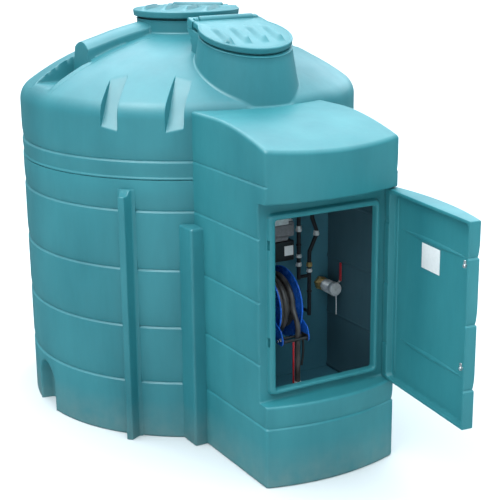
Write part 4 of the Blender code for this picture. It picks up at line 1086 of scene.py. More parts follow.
def makeLatches():
    place = doorPlace()
    floor = door["rear"] - door["panDepth"]
    x = latch["x"]
    ahead = (0, 1, 0)
    for word, level in latch["levels"].items():
        rides = body[f"{word}_latch"]
        start = (x, floor, level)
        rose = lathe([(0.0004, 0.0135), (0.0030, 0.0135), (0.0055, 0.0120), (0.0062, 0.0085)], start, ahead,
                     32)
        rosette = piece(f"{word}_latch_rosette", placed(rose[0], place), rose[1], "black_plastic", rides)
        sharpened(rosette, 40)
        spindle = lathe([(0.003, 0.0068), (0.034, 0.0068), (0.036, 0.0060)], start, ahead, 24)
        nut = lathe([(0.0335, 0.0096), (0.0340, 0.0102), (0.0395, 0.0102), (0.0408, 0.0085)], start, ahead,
                    6)
        low = (x - 0.009, floor + 0.030, level - 0.009)
        high = (x + 0.009, floor + 0.036, level + latch["cam"])
        cam = softBox(low, high, 0.0025)
        parts = merged([spindle, nut, cam])
        metal = piece(f"{word}_latch_cam", placed(parts[0], place), parts[1], "chrome", rides,
                      (f"{word}_latch",))
        sharpened(metal, 35)
    print("door and latches ready")


# fins and buttresses against the wall

fin = {
    "bearings": {"front_left": 47.4, "back_left": 132.6, "back_right": 227.4, "front_right": 312.6},
    "high": 1.505, "low": 1.476, "step": 0.022, "root": 0.0475, "tip": 0.019, "reach": 0.078,
    "round": 0.006,
}
buttress = {"height": 1.310, "width": 0.076, "front": -1.048, "back": -0.86, "round": 0.014, "top": 0.016}


def finHalf(out):  # half the fin's width at a distance out from the wall
    f = fin
    root = 0.016 * max(1 - out / 0.014, 0.0) ** 2
    end = f["reach"] - out
    nose = 0.0
    if end < f["round"]:
        nose = f["round"] - math.sqrt(max(f["round"] ** 2 - (f["round"] - end) ** 2, 0.0))
    return mix(f["root"] - 0.010, f["tip"], min(out / f["reach"], 1.0) ** 0.9) + root - nose


# the fin's outline at a height, cut short at end, its front lowered by fall
def finRing(z, end, inset, fall=0.0):
    outs = [0.0, 0.002, 0.005, 0.009, 0.014, 0.022, 0.034, 0.048, 0.060, 0.068, 0.072, 0.0745, 0.0765,
            0.0776, 0.078]
    r = tank["radius"] - 0.006
    left, right = [], []
    for out in outs:
        here = min(out, end - inset)
        half = max(finHalf(here) - inset, 0.002)
        low = z - fall * softStep((out - fin["step"]) / 0.022)
        left.append((r + 0.006 + here, -half, low))
        right.append((r + 0.006 + here, half, low))
    return [(r, left[0][1], z)] + left + right[::-1] + [(r, right[0][1], z)]


def makeFins():
    f = fin
    edge = ((0.0070, 0.0), (0.0040, 0.0010), (0.0018, 0.0028), (0.0004, 0.0052), (0.0, 0.0085))
    for word, degrees in f["bearings"].items():
        turn = Matrix.Rotation(math.radians(-90 - degrees), 4, "Z")
        shank = ((0.0, 0.003), (0.004, 0.0), (0.6, 0.0), (1.2, 0.0))
        rings = [finRing(z, f["reach"], inset) for z, inset in shank]
        rings.append(finRing(1.40, f["reach"], 0.0, 0.010))
        drop = f["high"] - f["low"]
        rings += [finRing(f["high"] - down, f["reach"], inset, drop) for down, inset in edge]
        points, faces = lofted(rings)
        thing = piece(f"fin_{word}_moulding", placed(points, turn), faces, "tank_plastic", "tank",
                      (f"fin_{word}",))
        tidied(thing, 0.00005)
        sharpened(thing, 50)


def makeButtresses():
    b = buttress
    for side, word in ((-1, "left"), (1, "right")):
        edge = cabinet["left"] if side < 0 else cabinet["right"]
        rings = []
        steps = [(0.0, 0.004), (0.005, 0.0)] + [(b["height"] * k / 6, 0.0) for k in range(1, 6)]
        for k in range(6):
            turn = math.pi / 2 * k / 5
            steps.append((b["height"] - b["top"] * (1 - math.sin(turn)), b["top"] * (1 - math.cos(turn))))
        for z, inset in steps:
            far, front, r = edge + side * (b["width"] - inset), b["front"] + inset, b["round"] - inset * 0.3
            ring = [(edge - side * 0.004, b["back"], z), (far, b["back"], z)]
            ring += [(far, mix(b["back"], front + r, k / 6), z) for k in range(1, 6)]
            for k in range(8):
                turn = math.pi / 2 * k / 7
                ring.append((far - side * r * (1 - math.cos(turn)), front + r * (1 - math.sin(turn)), z))
            ring += [(mix(far - side * r, edge - side * 0.004, k / 4), front, z) for k in range(1, 5)]
            rings.append(ring)
        points, faces = lofted(rings)
        thing = piece(f"buttress_{word}_moulding", points, faces, "tank_plastic", "tank",
                      (f"buttress_{word}",))
        tidied(thing)
        sharpened(thing, 50)


# manholes

mainLid = {
    "name": "main", "radius": 0.330, "rim": 0.055, "leave": 40.0, "corner": (0.245, 0.300),
    "axis": (0.246, 0.049), "barHalf": 0.165, "supportHalf": 0.243,
    "ridges": (-0.205, -0.072, 0.062, 0.192), "reach": (0.150, -0.225), "bore": 0.264, "gapFoot": 0.019,
    "neckTop": 0.004, "bend": 0.003,
    "place": Matrix.Translation((0, 0, 2.374)) @ Matrix.Rotation(math.radians(-45.0), 4, "Z"),
    "support": ((0.230, -0.001), (0.298, -0.001), (0.298, -0.008), (0.292, -0.010), (0.230, -0.010)),
}
turretLid = {
    "name": "turret", "radius": 0.276, "rim": turretPlace["lidRim"], "leave": 31.3,
    "corner": (0.230, 0.289), "axis": (0.237, 0.044), "barHalf": 0.180, "supportHalf": 0.228,
    "ridges": (-0.170, -0.058, 0.054, 0.158), "reach": (0.130, -0.190), "bore": 0.235, "gapFoot": 0.018,
    "neckTop": 0.006, "bend": 0.004,
    "place": Matrix.Translation((
        0, turretPlace["y"], turretPlace["lidTop"] - turretPlace["lidRim"] * math.cos(turretPlace["tilt"])))
    @ Matrix.Rotation(turretPlace["tilt"], 4, "X"),
    "support": ((0.10, -0.001), (0.287, -0.001), (0.287, -0.018), (0.221, -0.052), (0.239, -0.068),
                (0.209, -0.098), (0.20, -0.150), (0.10, -0.150)),
}
hinge = {"bar": 0.026, "bore": 0.0075, "pin": 0.006, "swing": 0.0055}
pleat = {"height": 0.024, "narrow": 0.020, "wide": 0.056, "steep": 0.20, "lip": 0.003}


def lidOutline(form, back, count=300):  # the lid's plan, local +y to its hinge, cut straight at back
    leave, radius = math.radians(form["leave"]), form["radius"]
    line = []
    for k in range(241):
        angle = math.pi - leave + (math.pi + 2 * leave) * k / 240
        line.append(Vector((radius * math.cos(angle), radius * math.sin(angle))))
    x, y = form["corner"]
    line += [Vector((x, y)), Vector((-x, y))]
    line = [Vector((p.x, min(p.y, back))) for p in line]
    line.append(line[0])
    lengths = [0.0]
    for a, b in zip(line, line[1:]):
        lengths.append(lengths[-1] + (b - a).length)
    points = []
    k = 0
    for i in range(count):
        want = lengths[-1] * i / count
        while lengths[k + 1] < want:
            k += 1
        span = lengths[k + 1] - lengths[k]
        points.append(line[k].lerp(line[k + 1], (want - lengths[k]) / span if span else 0.0))
    return points


def pleatHeight(form, x, y):  # the low wedge ridges of a lid: soft on the left, steep on the right
    start, end = form["reach"]
    t = (y - start) / (end - start)
    if not 0.0 < t < 1.0:
        return 0.0
    grow = softStep(t / 0.45) * softStep((1.0 - t) / 0.20)
    width = mix(pleat["narrow"], pleat["wide"], t)
    best = 0.0
    for middle in form["ridges"]:
        off = (x - middle) / width
        off = off / pleat["steep"] if off > 0 else off
        if abs(off) < 1.0:
            best = max(best, (1 - off * off) ** 1.5 if off < 0 else 1 - softStep(off))
    return best * grow * pleat["height"]


def lidTop(form, x, y, seam):  # height of a lid's top
    dip = softStep((y - seam + 0.060) / 0.045)
    wave = 0.5 + 0.5 * math.cos(2 * math.pi * (x + 0.05) / 0.26)
    return form["rim"] + 0.002 + pleatHeight(form, x, y) + dip * (0.010 * wave - 0.004)


def makeLid(form):
    name, rides = form["name"] + "_lid", body[form["name"] + "_lid"]
    rim = form["rim"]
    axisY, axisZ = form["axis"]
    seam = axisY - hinge["bar"] + 0.002
    outline = lidOutline(form, seam)
    middle = Vector((0.0, -0.02))

    def ring(inset, height):
        points = []
        for p in outline:
            away = p - middle
            spot = middle + away * (1 - inset / away.length)
            points.append((spot.x, spot.y, height(spot.x, spot.y) if callable(height) else height))
        return points

    low = form["gapFoot"]
    rings = [ring(0.022, rim - 0.012), ring(0.019, low + 0.004), ring(0.016, low), ring(0.006, low)]
    rings.append(ring(0.0035, low + 0.002))
    rings += [ring(0.003, low + 0.006), ring(0.0015, mix(low, rim, 0.5))]
    for k in range(6):
        turn = math.pi / 2 * k / 5
        rings.append(ring(0.008 * (1 - math.cos(turn)), rim + pleat["lip"] - 0.008 * (1 - math.sin(turn))))
    rings += [ring(0.010, rim + pleat["lip"]), ring(0.0125, rim + pleat["lip"] - 0.0008)]
    rings += [ring(0.016, rim + pleat["lip"] - 0.0035), ring(0.019, rim + 0.0012),
              ring(0.023, rim + 0.0004)]
    rings.append(ring(0.028, rim + 0.0012))
    border = ring(0.034, 0.0)
    for k in range(54):
        inner = []
        for x, y, _ in border:
            x, y = mix(x, middle.x, k / 54), mix(y, middle.y, k / 54)
            inner.append((x, y, lidTop(form, x, y, seam)))
        rings.append(inner)
    around = len(outline)
    points = [p for r in rings for p in r]
    faces = ringFaces(len(rings), around, cap=False)
    last = (len(rings) - 1) * around
    points.append((middle.x, middle.y, rim + 0.004))
    faces += [(last + i, last + (i + 1) % around, len(points) - 1) for i in range(around)]
    points.append((middle.x, middle.y, rim - 0.012))
    faces += [((i + 1) % around, i, len(points) - 1) for i in range(around)]
    half = form["barHalf"]
    strip = []
    line = (
        (seam - 0.024, rim - 0.004), (seam - 0.012, rim + 0.001), (seam, rim + 0.0015),
        (axisY - 0.020, rim + 0.0045), (axisY - 0.012, rim + 0.010), (axisY - 0.012, axisZ - 0.020),
        (axisY - 0.020, axisZ - 0.020), (seam - 0.024, axisZ - 0.016),
    )
    for x in (-half + 0.001, -half + 0.006, half - 0.006, half - 0.001):
        strip.append([(x, y, z) for y, z in line])
    bar = []
    for along, radius in ((-half, hinge["bore"]), (-half, 0.018), (-half + 0.002, 0.023),
                          (-half + 0.007, 0.026), (half - 0.007, 0.026), (half - 0.002, 0.023),
                          (half, 0.018), (half, hinge["bore"])):
        bar.append([(along, axisY + radius * math.cos(math.pi * k / 16),
                     axisZ + radius * math.sin(math.pi * k / 16))
                    for k in range(32)])
    barPoints, barFaces = lofted(bar, cap=False)
    last = 32 * (len(bar) - 1)
    barFaces += [(last + k, last + (k + 1) % 32, (k + 1) % 32, k) for k in range(32)]
    points, faces = merged([(points, faces), lofted(strip), (barPoints, barFaces)])
    lid = piece(f"{name}_moulding", placed(points, form["place"]), faces, "tank_plastic", rides, (name,))
    tidied(lid, 0.00005)
    sharpened(lid, 55)


def makeLidHinge(form):
    name = form["name"]
    axisY, axisZ = form["axis"]
    half = form["barHalf"] + hinge["swing"]
    seam = axisY - hinge["bar"] + 0.002 + hinge["swing"] + 0.0005
    behind = axisY + hinge["bar"] + hinge["swing"]
    place = form["place"]
    outline = lidOutline(form, 0.5, 220)
    rings = []
    for inset, z in ((0.003, 0.0), (0.0, 0.003), (0.0, 0.02), (0.0, form["rim"] - 0.010),
                     (0.0012, form["rim"] - 0.0045), (0.0045, form["rim"] - 0.0010), (0.010, form["rim"])):
        rings.append([place @ Vector((p.x * (1 - inset / form["radius"]),
                                      p.y * (1 - inset / form["radius"]), z))
                      for p in outline])
    points, faces = lofted(rings)
    block = piece(f"{name}_lid_hinge_moulding", points, faces, "tank_plastic", "tank",
                  (f"{name}_lid_hinge",))
    tidied(block)
    cutters = [
        loose(*softBox((-0.6, -0.6, -0.1), (0.6, seam, 0.2), 0.001, place)),
        loose(*softBox((-half, 0.0, -0.1), (half, behind, 0.2), 0.004, place)),
    ]
    carved(block, cutters)
    parts = []
    for side in (-1, 1):
        start = place @ Vector((side * half, axisY, axisZ))
        ahead = place.to_3x3() @ Vector((side, 0, 0))
        parts.append(lathe([(0.0, 0.013), (0.002, 0.0155), (0.004, 0.016), (0.026, 0.016)], start, ahead,
                           32))
    start = place @ Vector((-half - 0.012, axisY, axisZ))
    parts.append(lathe([(0.0, hinge["pin"]), (2 * half + 0.024, hinge["pin"])], start,
                       place.to_3x3() @ Vector((1, 0, 0)), 20))
    lugs = piece(f"{name}_lid_hinge_lugs", *merged(parts), "tank_plastic", "tank")
    sharpened(lugs, 40)
    sharpened(block, 40)


def groundHeight(x, y):  # the surface that the necks stand on
    radius = math.hypot(x, y)
    z = roofZ(min(radius, tank["radius"]))
    if abs(x) > sideForm["start"] and abs(y) < sideForm["half"]:
        z = max(z, sideHeight(abs(x), y))
    c = cabinet
    if y < -0.80 and c["left"] < x < c["right"]:
        z = softMax(z, cabinetTop(y), 0.012)
    return z


def makeNeck(form, centre, coneLine, fillet, lip):  # from its lid's plane down to a soft fillet on the roof
    name, place = form["name"], form["place"]
    normal = place.to_3x3() @ Vector((0, 0, 1))
    level = form["neckTop"]
    origin = place @ Vector((0, 0, level))
    columns = 160
    bore = form["bore"]
    rings = []
    for k in range(columns):
        angle = 2 * math.pi * k / columns
        out = Vector((math.cos(angle), math.sin(angle), 0.0))

        def wallPoint(z):
            return Vector((centre[0], centre[1], z)) + out * coneLine(z)

        low, high = 1.9, 2.6
        for _ in range(30):
            z = (low + high) / 2
            low, high = (z, high) if (wallPoint(z) - origin).dot(normal) < 0 else (low, z)
        top = low
        low, high = 1.80, top
        for _ in range(30):
            z = (low + high) / 2
            p = wallPoint(z)
            low, high = (z, high) if groundHeight(p.x, p.y) > z else (low, z)
        foot = min(low, top - fillet - 0.03)
        foundation = wallPoint(foot)
        a = foundation + out * fillet
        a = Vector((a.x, a.y, groundHeight(a.x, a.y) - 0.001))
        c = wallPoint(foot + fillet)
        column = [a - Vector((0, 0, 0.012)) + out * 0.004]
        for j in range(9):
            t = j / 8
            column.append(a * (1 - t) ** 2 + foundation * 2 * t * (1 - t) + c * t * t)
        under = top - lip["tall"]
        for j in range(1, 8):
            column.append(wallPoint(mix(foot + fillet, under, j / 7)))
        rise = (wallPoint(top) - wallPoint(under)).normalized()
        tip = wallPoint(top)
        for back, proud in ((0.75, 0.25), (0.55, 0.75), (0.40, 1.0), (0.18, 1.0), (0.06, 0.80),
                            (0.0, 0.45)):
            column.append(tip - rise * lip["tall"] * back + out * lip["proud"] * proud)
        local = place.inverted() @ tip
        flat = Vector((local.x, local.y)).normalized()
        for radius, height in ((bore + 0.0175, level), (bore + 0.017, level + 0.002)):
            column.append(place @ Vector((flat.x * radius, flat.y * radius, height)))
        collarTop = form["rim"] - 0.0115
        for radius, height in ((bore + 0.017, collarTop - 0.003), (bore + 0.014, collarTop),
                               (bore + 0.003, collarTop), (bore, collarTop - 0.003), (bore, -0.02)):
            column.append(place @ Vector((flat.x * radius, flat.y * radius, height)))
        inner = Vector((centre[0], centre[1], 0)) + out * (bore - 0.004)
        floor = max(foundation.z - 0.05, 1.85)
        column += [Vector((inner.x, inner.y, foundation.z + 0.02)), Vector((inner.x, inner.y, floor))]
        rings.append(column)
    across = len(rings[0])
    points = [p for column in rings for p in column]
    faces = []
    for k in range(columns):
        now, after = k * across, (k + 1) % columns * across
        faces += [(now + j, now + (j + 1) % across, after + (j + 1) % across, after + j)
                  for j in range(across)]
    neck = piece(f"{name}_neck_moulding", points, faces, "tank_plastic", "tank", (f"{name}_neck",))
    tidied(neck)
    openFrom = form["axis"][0] - 0.066
    gap = softBox((-0.5, openFrom, -0.0015), (0.5, 0.5, 0.2), 0.0004, place)
    carved(neck, [loose(*gap)])
    sharpened(neck, 40)
    wide = form["supportHalf"]
    rings = []
    bend = form["bend"]
    for x, inset in ((-wide, bend), (-wide + bend, 0.0), (wide - bend, 0.0), (wide, bend)):
        middle = Vector((sum(y for y, _ in form["support"]),
                         sum(z for _, z in form["support"]))) / len(form["support"])
        rings.append([place @ Vector((x, y - math.copysign(inset, y - middle.x),
                                      z - math.copysign(inset, z - middle.y)))
                      for y, z in form["support"]])
    points, faces = lofted(rings)
    shelf = piece(f"{name}_hinge_shelf", points, faces, "tank_plastic", "tank")
    applied(shelf, "BEVEL", width=bend * 0.8, segments=3, limit_method="ANGLE")
    shelf.data.shade_smooth()
    bore = loose(*lathe([(-0.5, form["bore"] - 0.003), (0.5, form["bore"] - 0.003)],
                        (centre[0], centre[1], 2.2), (0, 0, 1), 96))
    carved(shelf, [bore])
    sharpened(shelf, 30)


def makeManholes():
    makeNeck(mainLid, (0.0, 0.0), lambda z: 0.308, 0.012, {"tall": 0.008, "proud": 0.003})
    print("main neck ready")
    t = turretPlace
    makeNeck(turretLid, (0.0, t["y"]), lambda z: t["foot"] - (z - t["footZ"]) * t["taper"],
             0.015, {"tall": 0.008, "proud": 0.004})
    print("turret neck ready")
    for form in (mainLid, turretLid):
        makeLid(form)
        makeLidHinge(form)


# hose reel

reel = {
    "centre": (-0.1545, -1.290, 0.886), "radius": 0.198, "roll": 0.006, "half": 0.0705, "core": 0.085,
    "bore": 0.016, "layers": (0.1015, 0.1315, 0.1615), "turns": 4, "pitch": 0.0306, "top": 0.1615,
}
hose = {
    "radius": 0.015, "x": -0.122, "guideY": -1.500, "guideZ": 0.735, "end": 0.478, "arc": (35, 18, 0),
    "hang": ((-1.497, 0.810), (-1.500, 0.735), (-1.500, 0.640), (-1.500, 0.560), (-1.500, 0.478)),
    "steps": 5,
}
bracket = {"arm": 0.0825, "thick": 0.004, "back": cabinet["bulkheadY"]}


def roundReel(r, degrees, x):  # a point round the reel: 0 at its front, 90 at its top
    cx, cy, cz = reel["centre"]
    turn = math.radians(degrees)
    return Vector((cx + x, cy - r * math.cos(turn), cz + r * math.sin(turn)))


def makeReel():
    r, half, roll = reel["radius"], reel["half"], reel["roll"]
    place = Matrix.Translation(reel["centre"]) @ Matrix.Rotation(math.pi / 2, 4, "Y")
    parts = []
    for side in (-1, 1):
        line = [(reel["bore"], half - 0.004), (0.085, half - 0.004), (0.094, half - 0.0065),
                (0.150, half - 0.0065)]
        line += [(0.158, half - 0.0045), (0.186, half - 0.0045)]
        for k in range(11):
            turn = math.radians(-115 + 250 * k / 10)
            line.append((r + roll * math.cos(turn), half - 0.001 + roll * math.sin(turn) * 0.9))
        line += [(0.186, half - 0.001), (0.158, half - 0.001), (0.150, half - 0.0030),
                 (0.094, half - 0.0030)]
        line += [(0.085, half - 0.0005), (0.045, half - 0.0005), (0.040, half), (reel["bore"], half)]
        parts.append(turned([(a, side * b) for a, b in line], 96))
    core = reel["core"]
    inside, end = core - 0.004, half - 0.003
    parts.append(turned([(inside, -end), (core, -end), (core, end), (inside, end)], 64))
    points, faces = merged(parts)
    drum = piece("reel_drum_pressing", placed(points, place), faces, "blue_paint", body["reel_drum"],
                 ("reel_drum",))
    tidied(drum, 0.00002)
    sharpened(drum, 35)
    bolts = []
    for side in (-1, 1):
        for k in range(6):
            start = roundReel(0.066, 30 + 60 * k, side * (half - 0.0008))
            bolts.append(lathe([(0.0, 0.0062), (0.0030, 0.0062), (0.0042, 0.0048)], start, (side, 0, 0), 6))
    heads = piece("reel_bolts", *merged(bolts), "chrome", body["reel_drum"])
    sharpened(heads, 30)


def makeWinding():
    parts = []
    pitch, turns = reel["pitch"], reel["turns"]
    for layer, radius in enumerate(reel["layers"]):
        ends = 1.80 if layer == 2 else turns - 0.02
        path = []
        steps = int(ends * 56)
        for k in range(steps + 1):
            around = ends * k / steps
            whole, part = divmod(around, 1.0)
            across = (whole + softStep((part - 0.80) / 0.20) - (turns - 1) / 2) * pitch
            path.append(roundReel(radius, 250 - 360 * around if layer % 2 == 0 else 250 + 360 * around,
                                  -across if layer % 2 else across))
        if layer == 2:
            last = 250 - 360 * ends
            for k in range(1, 15):
                t = k / 14
                path.append(roundReel(mix(radius, reel["top"], softStep(t)), last - 60 * t,
                                      mix(across, hose["x"] - reel["centre"][0], softStep(t))))
            begin = last - 60
            stop = 35 + 360 * math.floor((begin - 35) / 360)
            steps = max(int((begin - stop) / 6), 2)
            for k in range(1, steps + 1):
                path.append(roundReel(reel["top"], mix(begin, stop, k / steps),
                                      hose["x"] - reel["centre"][0]))
        parts.append(tube(path, hose["radius"] - 0.0001, 14))
    winding = piece("hose_winding", *merged(parts), "hose_rubber", body["wound_hose"], ("wound_hose",))
    sharpened(winding, 60)


def smoothRoute(points, steps):  # points along a smooth curve through the route's own points
    route = []
    ends = [points[0]] + points + [points[-1]]
    for a, b, c, d in zip(ends, ends[1:], ends[2:], ends[3:]):
        a, b, c, d = (Vector(p) for p in (a, b, c, d))
        for k in range(steps):
            t = k / steps
            route.append(0.5 * (2 * b + (c - a) * t + (2 * a - 5 * b + 4 * c - d) * t ** 2
                                + (3 * b - a - 3 * c + d) * t ** 3))
    return route + [Vector(points[-1])]


def makeHoseDrop():
    points = [tuple(roundReel(reel["top"], degrees, hose["x"] - reel["centre"][0]))
              for degrees in hose["arc"]]
    points += [(hose["x"], y, z) for y, z in hose["hang"]]
    route = smoothRoute(points, hose["steps"])
    curve = bpy.data.curves.new("hose_drop_line", "CURVE")
    curve.dimensions = "3D"
    curve.bevel_depth = hose["radius"]
    curve.bevel_resolution = 5
    curve.use_fill_caps = True
    spline = curve.splines.new("POLY")
    spline.points.add(len(route) - 1)
    for spot, point in zip(spline.points, route):
        spot.co = (*point, 1.0)
    spline.use_smooth = True
    line = bpy.data.objects.new("hose_drop_line", curve)
    bpy.context.scene.collection.objects.link(line)
    curve.materials.append(finishes["hose_rubber"])
    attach(line, body["hose_drop"])
    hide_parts("hose_drop")
    nozzle = makeNozzle()


def makeNozzle():
    x, y, top = hose["x"], hose["guideY"], hose["end"] - 0.0004
    down = (0, 0, -1)
    ferrule = lathe([(0.0, 0.0165), (0.0, 0.0185), (0.004, 0.0190), (0.012, 0.0190), (0.013, 0.0178),
                     (0.016, 0.0178), (0.017, 0.0190), (0.027, 0.0190), (0.030, 0.0180)], (x, y, top), down,
                    32)
    grip = lathe([(0.028, 0.0180), (0.031, 0.0210), (0.084, 0.0205), (0.090, 0.0150)], (x, y, top), down,
                 32)
    aim = Vector((x, y - 0.012, 0.342)) - Vector((x, y, top - 0.086))
    spout = lathe([(0.0, 0.0110), (0.012, 0.0100), (aim.length - 0.004, 0.0095), (aim.length, 0.0085)],
                  (x, y, top - 0.086), aim, 24)
    metal = piece("hose_nozzle_metal", *merged([ferrule, spout]), "aluminium", body["hose_nozzle"],
                  ("hose_nozzle",))
    sharpened(metal, 35)
    guard = []
    path = [(x, y - 0.016, top - 0.080), (x, y - 0.044, top - 0.080), (x, y - 0.048, top - 0.076),
            (x, y - 0.048, top - 0.022)]
    guard.append(tube(smoothRoute(path, 5), 0.0042, 10))
    black = piece("hose_nozzle_grip", *merged([grip] + guard), "black_plastic", body["hose_nozzle"])
    sharpened(black, 35)
    return [metal, black]


def makeBracket():
    cx, cy, cz = reel["centre"]
    gy, gz = hose["guideY"], hose["guideZ"]
    arm, thick, back = bracket["arm"], bracket["thick"], bracket["back"]
    outline = [
        (back - 0.001, cz - 0.055), (back - 0.001, cz + 0.055), (cy - 0.02, cz + 0.022),
        (gy - 0.015, gz + 0.060), (gy - 0.036, gz + 0.010), (gy - 0.028, gz - 0.022),
        (gy + 0.030, gz - 0.020), (cy - 0.02, cz - 0.035),
    ]
    smooth = []
    for i, corner in enumerate(outline):
        corner = Vector(corner)
        before, after = Vector(outline[i - 1]) - corner, Vector(outline[(i + 1) % len(outline)]) - corner
        reach = 0.010 if 0 < i < 8 else 0.002
        for k in range(5):
            t = k / 4
            smooth.append((corner + before.normalized() * reach) * (1 - t) ** 2 + corner * 2 * t * (1 - t)
                          + (corner + after.normalized() * reach) * t ** 2)
    parts = []
    for side in (-1, 1):
        rings = []
        for off, inset in ((0.0, 0.0010), (0.0008, 0.0), (thick - 0.0008, 0.0), (thick, 0.0010)):
            middle = sum(smooth, Vector((0, 0))) / len(smooth)
            x = cx + side * (arm + off)
            rings.append([(x, p.x + (middle - p).normalized().x * inset,
                           p.y + (middle - p).normalized().y * inset)
                          for p in smooth])
        parts.append(lofted(rings))
        ridge = [(cx + side * (arm + thick * 0.5), p[0], p[1]) for p in smooth[10:26]]
        parts.append(tube(ridge, 0.0040, 10))
    low, high = (cx - arm - thick, back - 0.004, cz - 0.06), (cx + arm + thick, back, cz + 0.06)
    parts.append(softBox(low, high, 0.001))
    points, faces = merged(parts)
    frameWork = piece("reel_bracket_plates", points, faces, "blue_paint", body["reel_bracket"],
                      ("reel_bracket",))
    tidied(frameWork, 0.00002)
    sharpened(frameWork, 35)
    metal = []
    end = arm + 0.010
    metal.append(lathe([(0.0, 0.0085), (0.0015, 0.010), (2 * end - 0.0015, 0.010), (2 * end, 0.0085)],
                       (cx - end, cy, cz), (1, 0, 0), 24))
    for side in (-1, 1):
        face = cx + side * (arm + thick)
        for y, z, size in ((cy, cz, 0.017), (gy - 0.014, gz + 0.012, 0.0105),
                           (gy + 0.014, gz - 0.004, 0.0085)):
            metal.append(lathe([(0.0, size), (0.0045, size), (0.0060, size * 0.8)], (face, y, z),
                               (side, 0, 0), 6))
    bolts = piece("reel_bracket_bolts", *merged(metal), "chrome", body["reel_bracket"])
    sharpened(bolts, 30)


def makeHoseGuide():
    cx = reel["centre"][0]
    gy, gz = hose["guideY"], hose["guideZ"]
    left, right = cx - bracket["arm"] + 0.001, cx + bracket["arm"] - 0.001
    parts = []
    for x in (left, right - 0.006):
        parts.append(softBox((x, gy - 0.034, gz - 0.018), (x + 0.006, gy + 0.034, gz + 0.018), 0.0022))
    for y in (gy - 0.025, gy + 0.025):
        span = right - left - 0.012
        line = [(0.0, 0.0060), (0.004, 0.0060), (0.005, 0.0088), (0.010, 0.0092)]
        line += [(mix(0.012, span - 0.012, k / 8), 0.0090 - 0.0012 * math.sin(math.pi * k / 8))
                 for k in range(9)]
        line += [(span - 0.010, 0.0092), (span - 0.005, 0.0088), (span - 0.004, 0.0060), (span, 0.0060)]
        parts.append(lathe(line, (left + 0.006, y, gz), (1, 0, 0), 28))
    parts.append(softBox((left + 0.002, gy - 0.006, gz - 0.016), (-0.142, gy + 0.006, gz - 0.006), 0.0015))
    parts.append(tube(smoothRoute([(-0.088, gy, gz - 0.012), (-0.088, gy - 0.003, gz - 0.070),
                                   (-0.089, gy, gz - 0.120), (-0.094, gy + 0.004, gz - 0.168)], 5), 0.0065,
                      12))
    guide = piece("hose_guide_rollers", *merged(parts), "black_plastic", body["hose_guide"],
                  ("hose_guide",))
    tidied(guide, 0.00002)
    sharpened(guide, 40)
    foot = 0.3304
    high = gz - 0.0164
    pipe = lathe([(0.0, 0.0050), (0.001, 0.0056), (high - foot - 0.020, 0.0056),
                  (high - foot - 0.018, 0.0062), (high - foot - 0.001, 0.0062), (high - foot, 0.0056)],
                 (-0.150, gy, foot), (0, 0, 1), 24)
    red = piece("red_pipe_sleeve", *pipe, "red_sleeve", body["red_pipe"], ("red_pipe",))
    sharpened(red, 35)


# valve, pump and pipes

valve = {"x": 0.304, "z": 0.873, "back": cabinet["bulkheadY"], "leverY": -1.175}


def ribbed(start, end, radius, count, depth):  # a lathe line with rounded ribs
    line = []
    for k in range(count * 6 + 1):
        t = k / (count * 6)
        line.append((mix(start, end, t), radius - depth * (0.5 + 0.5 * math.cos(2 * math.pi * count * t))))
    return line


def makeValve():
    x, z, back = valve["x"], valve["z"], valve["back"]
    ahead = (0, -1, 0)
    start = (x, back, z)
    nut = lathe([(0.0, 0.0400), (0.0015, 0.0425), (0.0215, 0.0425), (0.0240, 0.0395)], start, ahead, 6)
    line = [(0.022, 0.0340)] + ribbed(0.024, 0.050, 0.0385, 4, 0.0030) + [(0.056, 0.0370), (0.0576, 0.0350)]
    neck = lathe(line, start, ahead, 40)
    brass = piece("valve_body_brass", *merged([nut, neck]), "brass", body["valve_body"], ("valve_body",))
    sharpened(brass, 30)
    hexagon = lathe([(0.0580, 0.0345), (0.0595, 0.0362), (0.0720, 0.0362), (0.0736, 0.0345)], start, ahead,
                    8)
    barrel = lathe([(0.0720, 0.0300)] + ribbed(0.074, 0.130, 0.0385, 5, 0.0055)
                   + [(0.1325, 0.0320), (0.1400, 0.0320)], start, ahead, 48)
    cap = lathe([(0.1370, 0.0330), (0.1380, 0.0385), (0.1400, 0.0400), (0.1690, 0.0400), (0.1735, 0.0380),
                 (0.1765, 0.0330), (0.1772, 0.0240), (0.1758, 0.0225), (0.1758, 0.0080), (0.1776, 0.0070)],
                start, ahead, 48)
    lugs = []
    for k in range(10):
        turn = 2 * math.pi * k / 10
        spot = (x + 0.0385 * math.cos(turn), back - 0.142, z + 0.0385 * math.sin(turn))
        lugs.append(lathe([(0.0, 0.0030), (0.001, 0.0038), (0.022, 0.0038), (0.023, 0.0030)], spot, ahead,
                          10))
    arm = tube(smoothRoute([(x + 0.004, back - 0.1650, 0.845), (x + 0.006, back - 0.1650, 0.825),
                            (x + 0.008, back - 0.1646, 0.775), (x + 0.008, back - 0.1642, 0.718)], 4),
               0.0045, 10)
    metal = piece("valve_cap_metal", *merged([hexagon, barrel, cap, arm] + lugs), "aluminium",
                  body["valve_cap"],
                  ("valve_cap",))
    sharpened(metal, 35)
    makeLever()


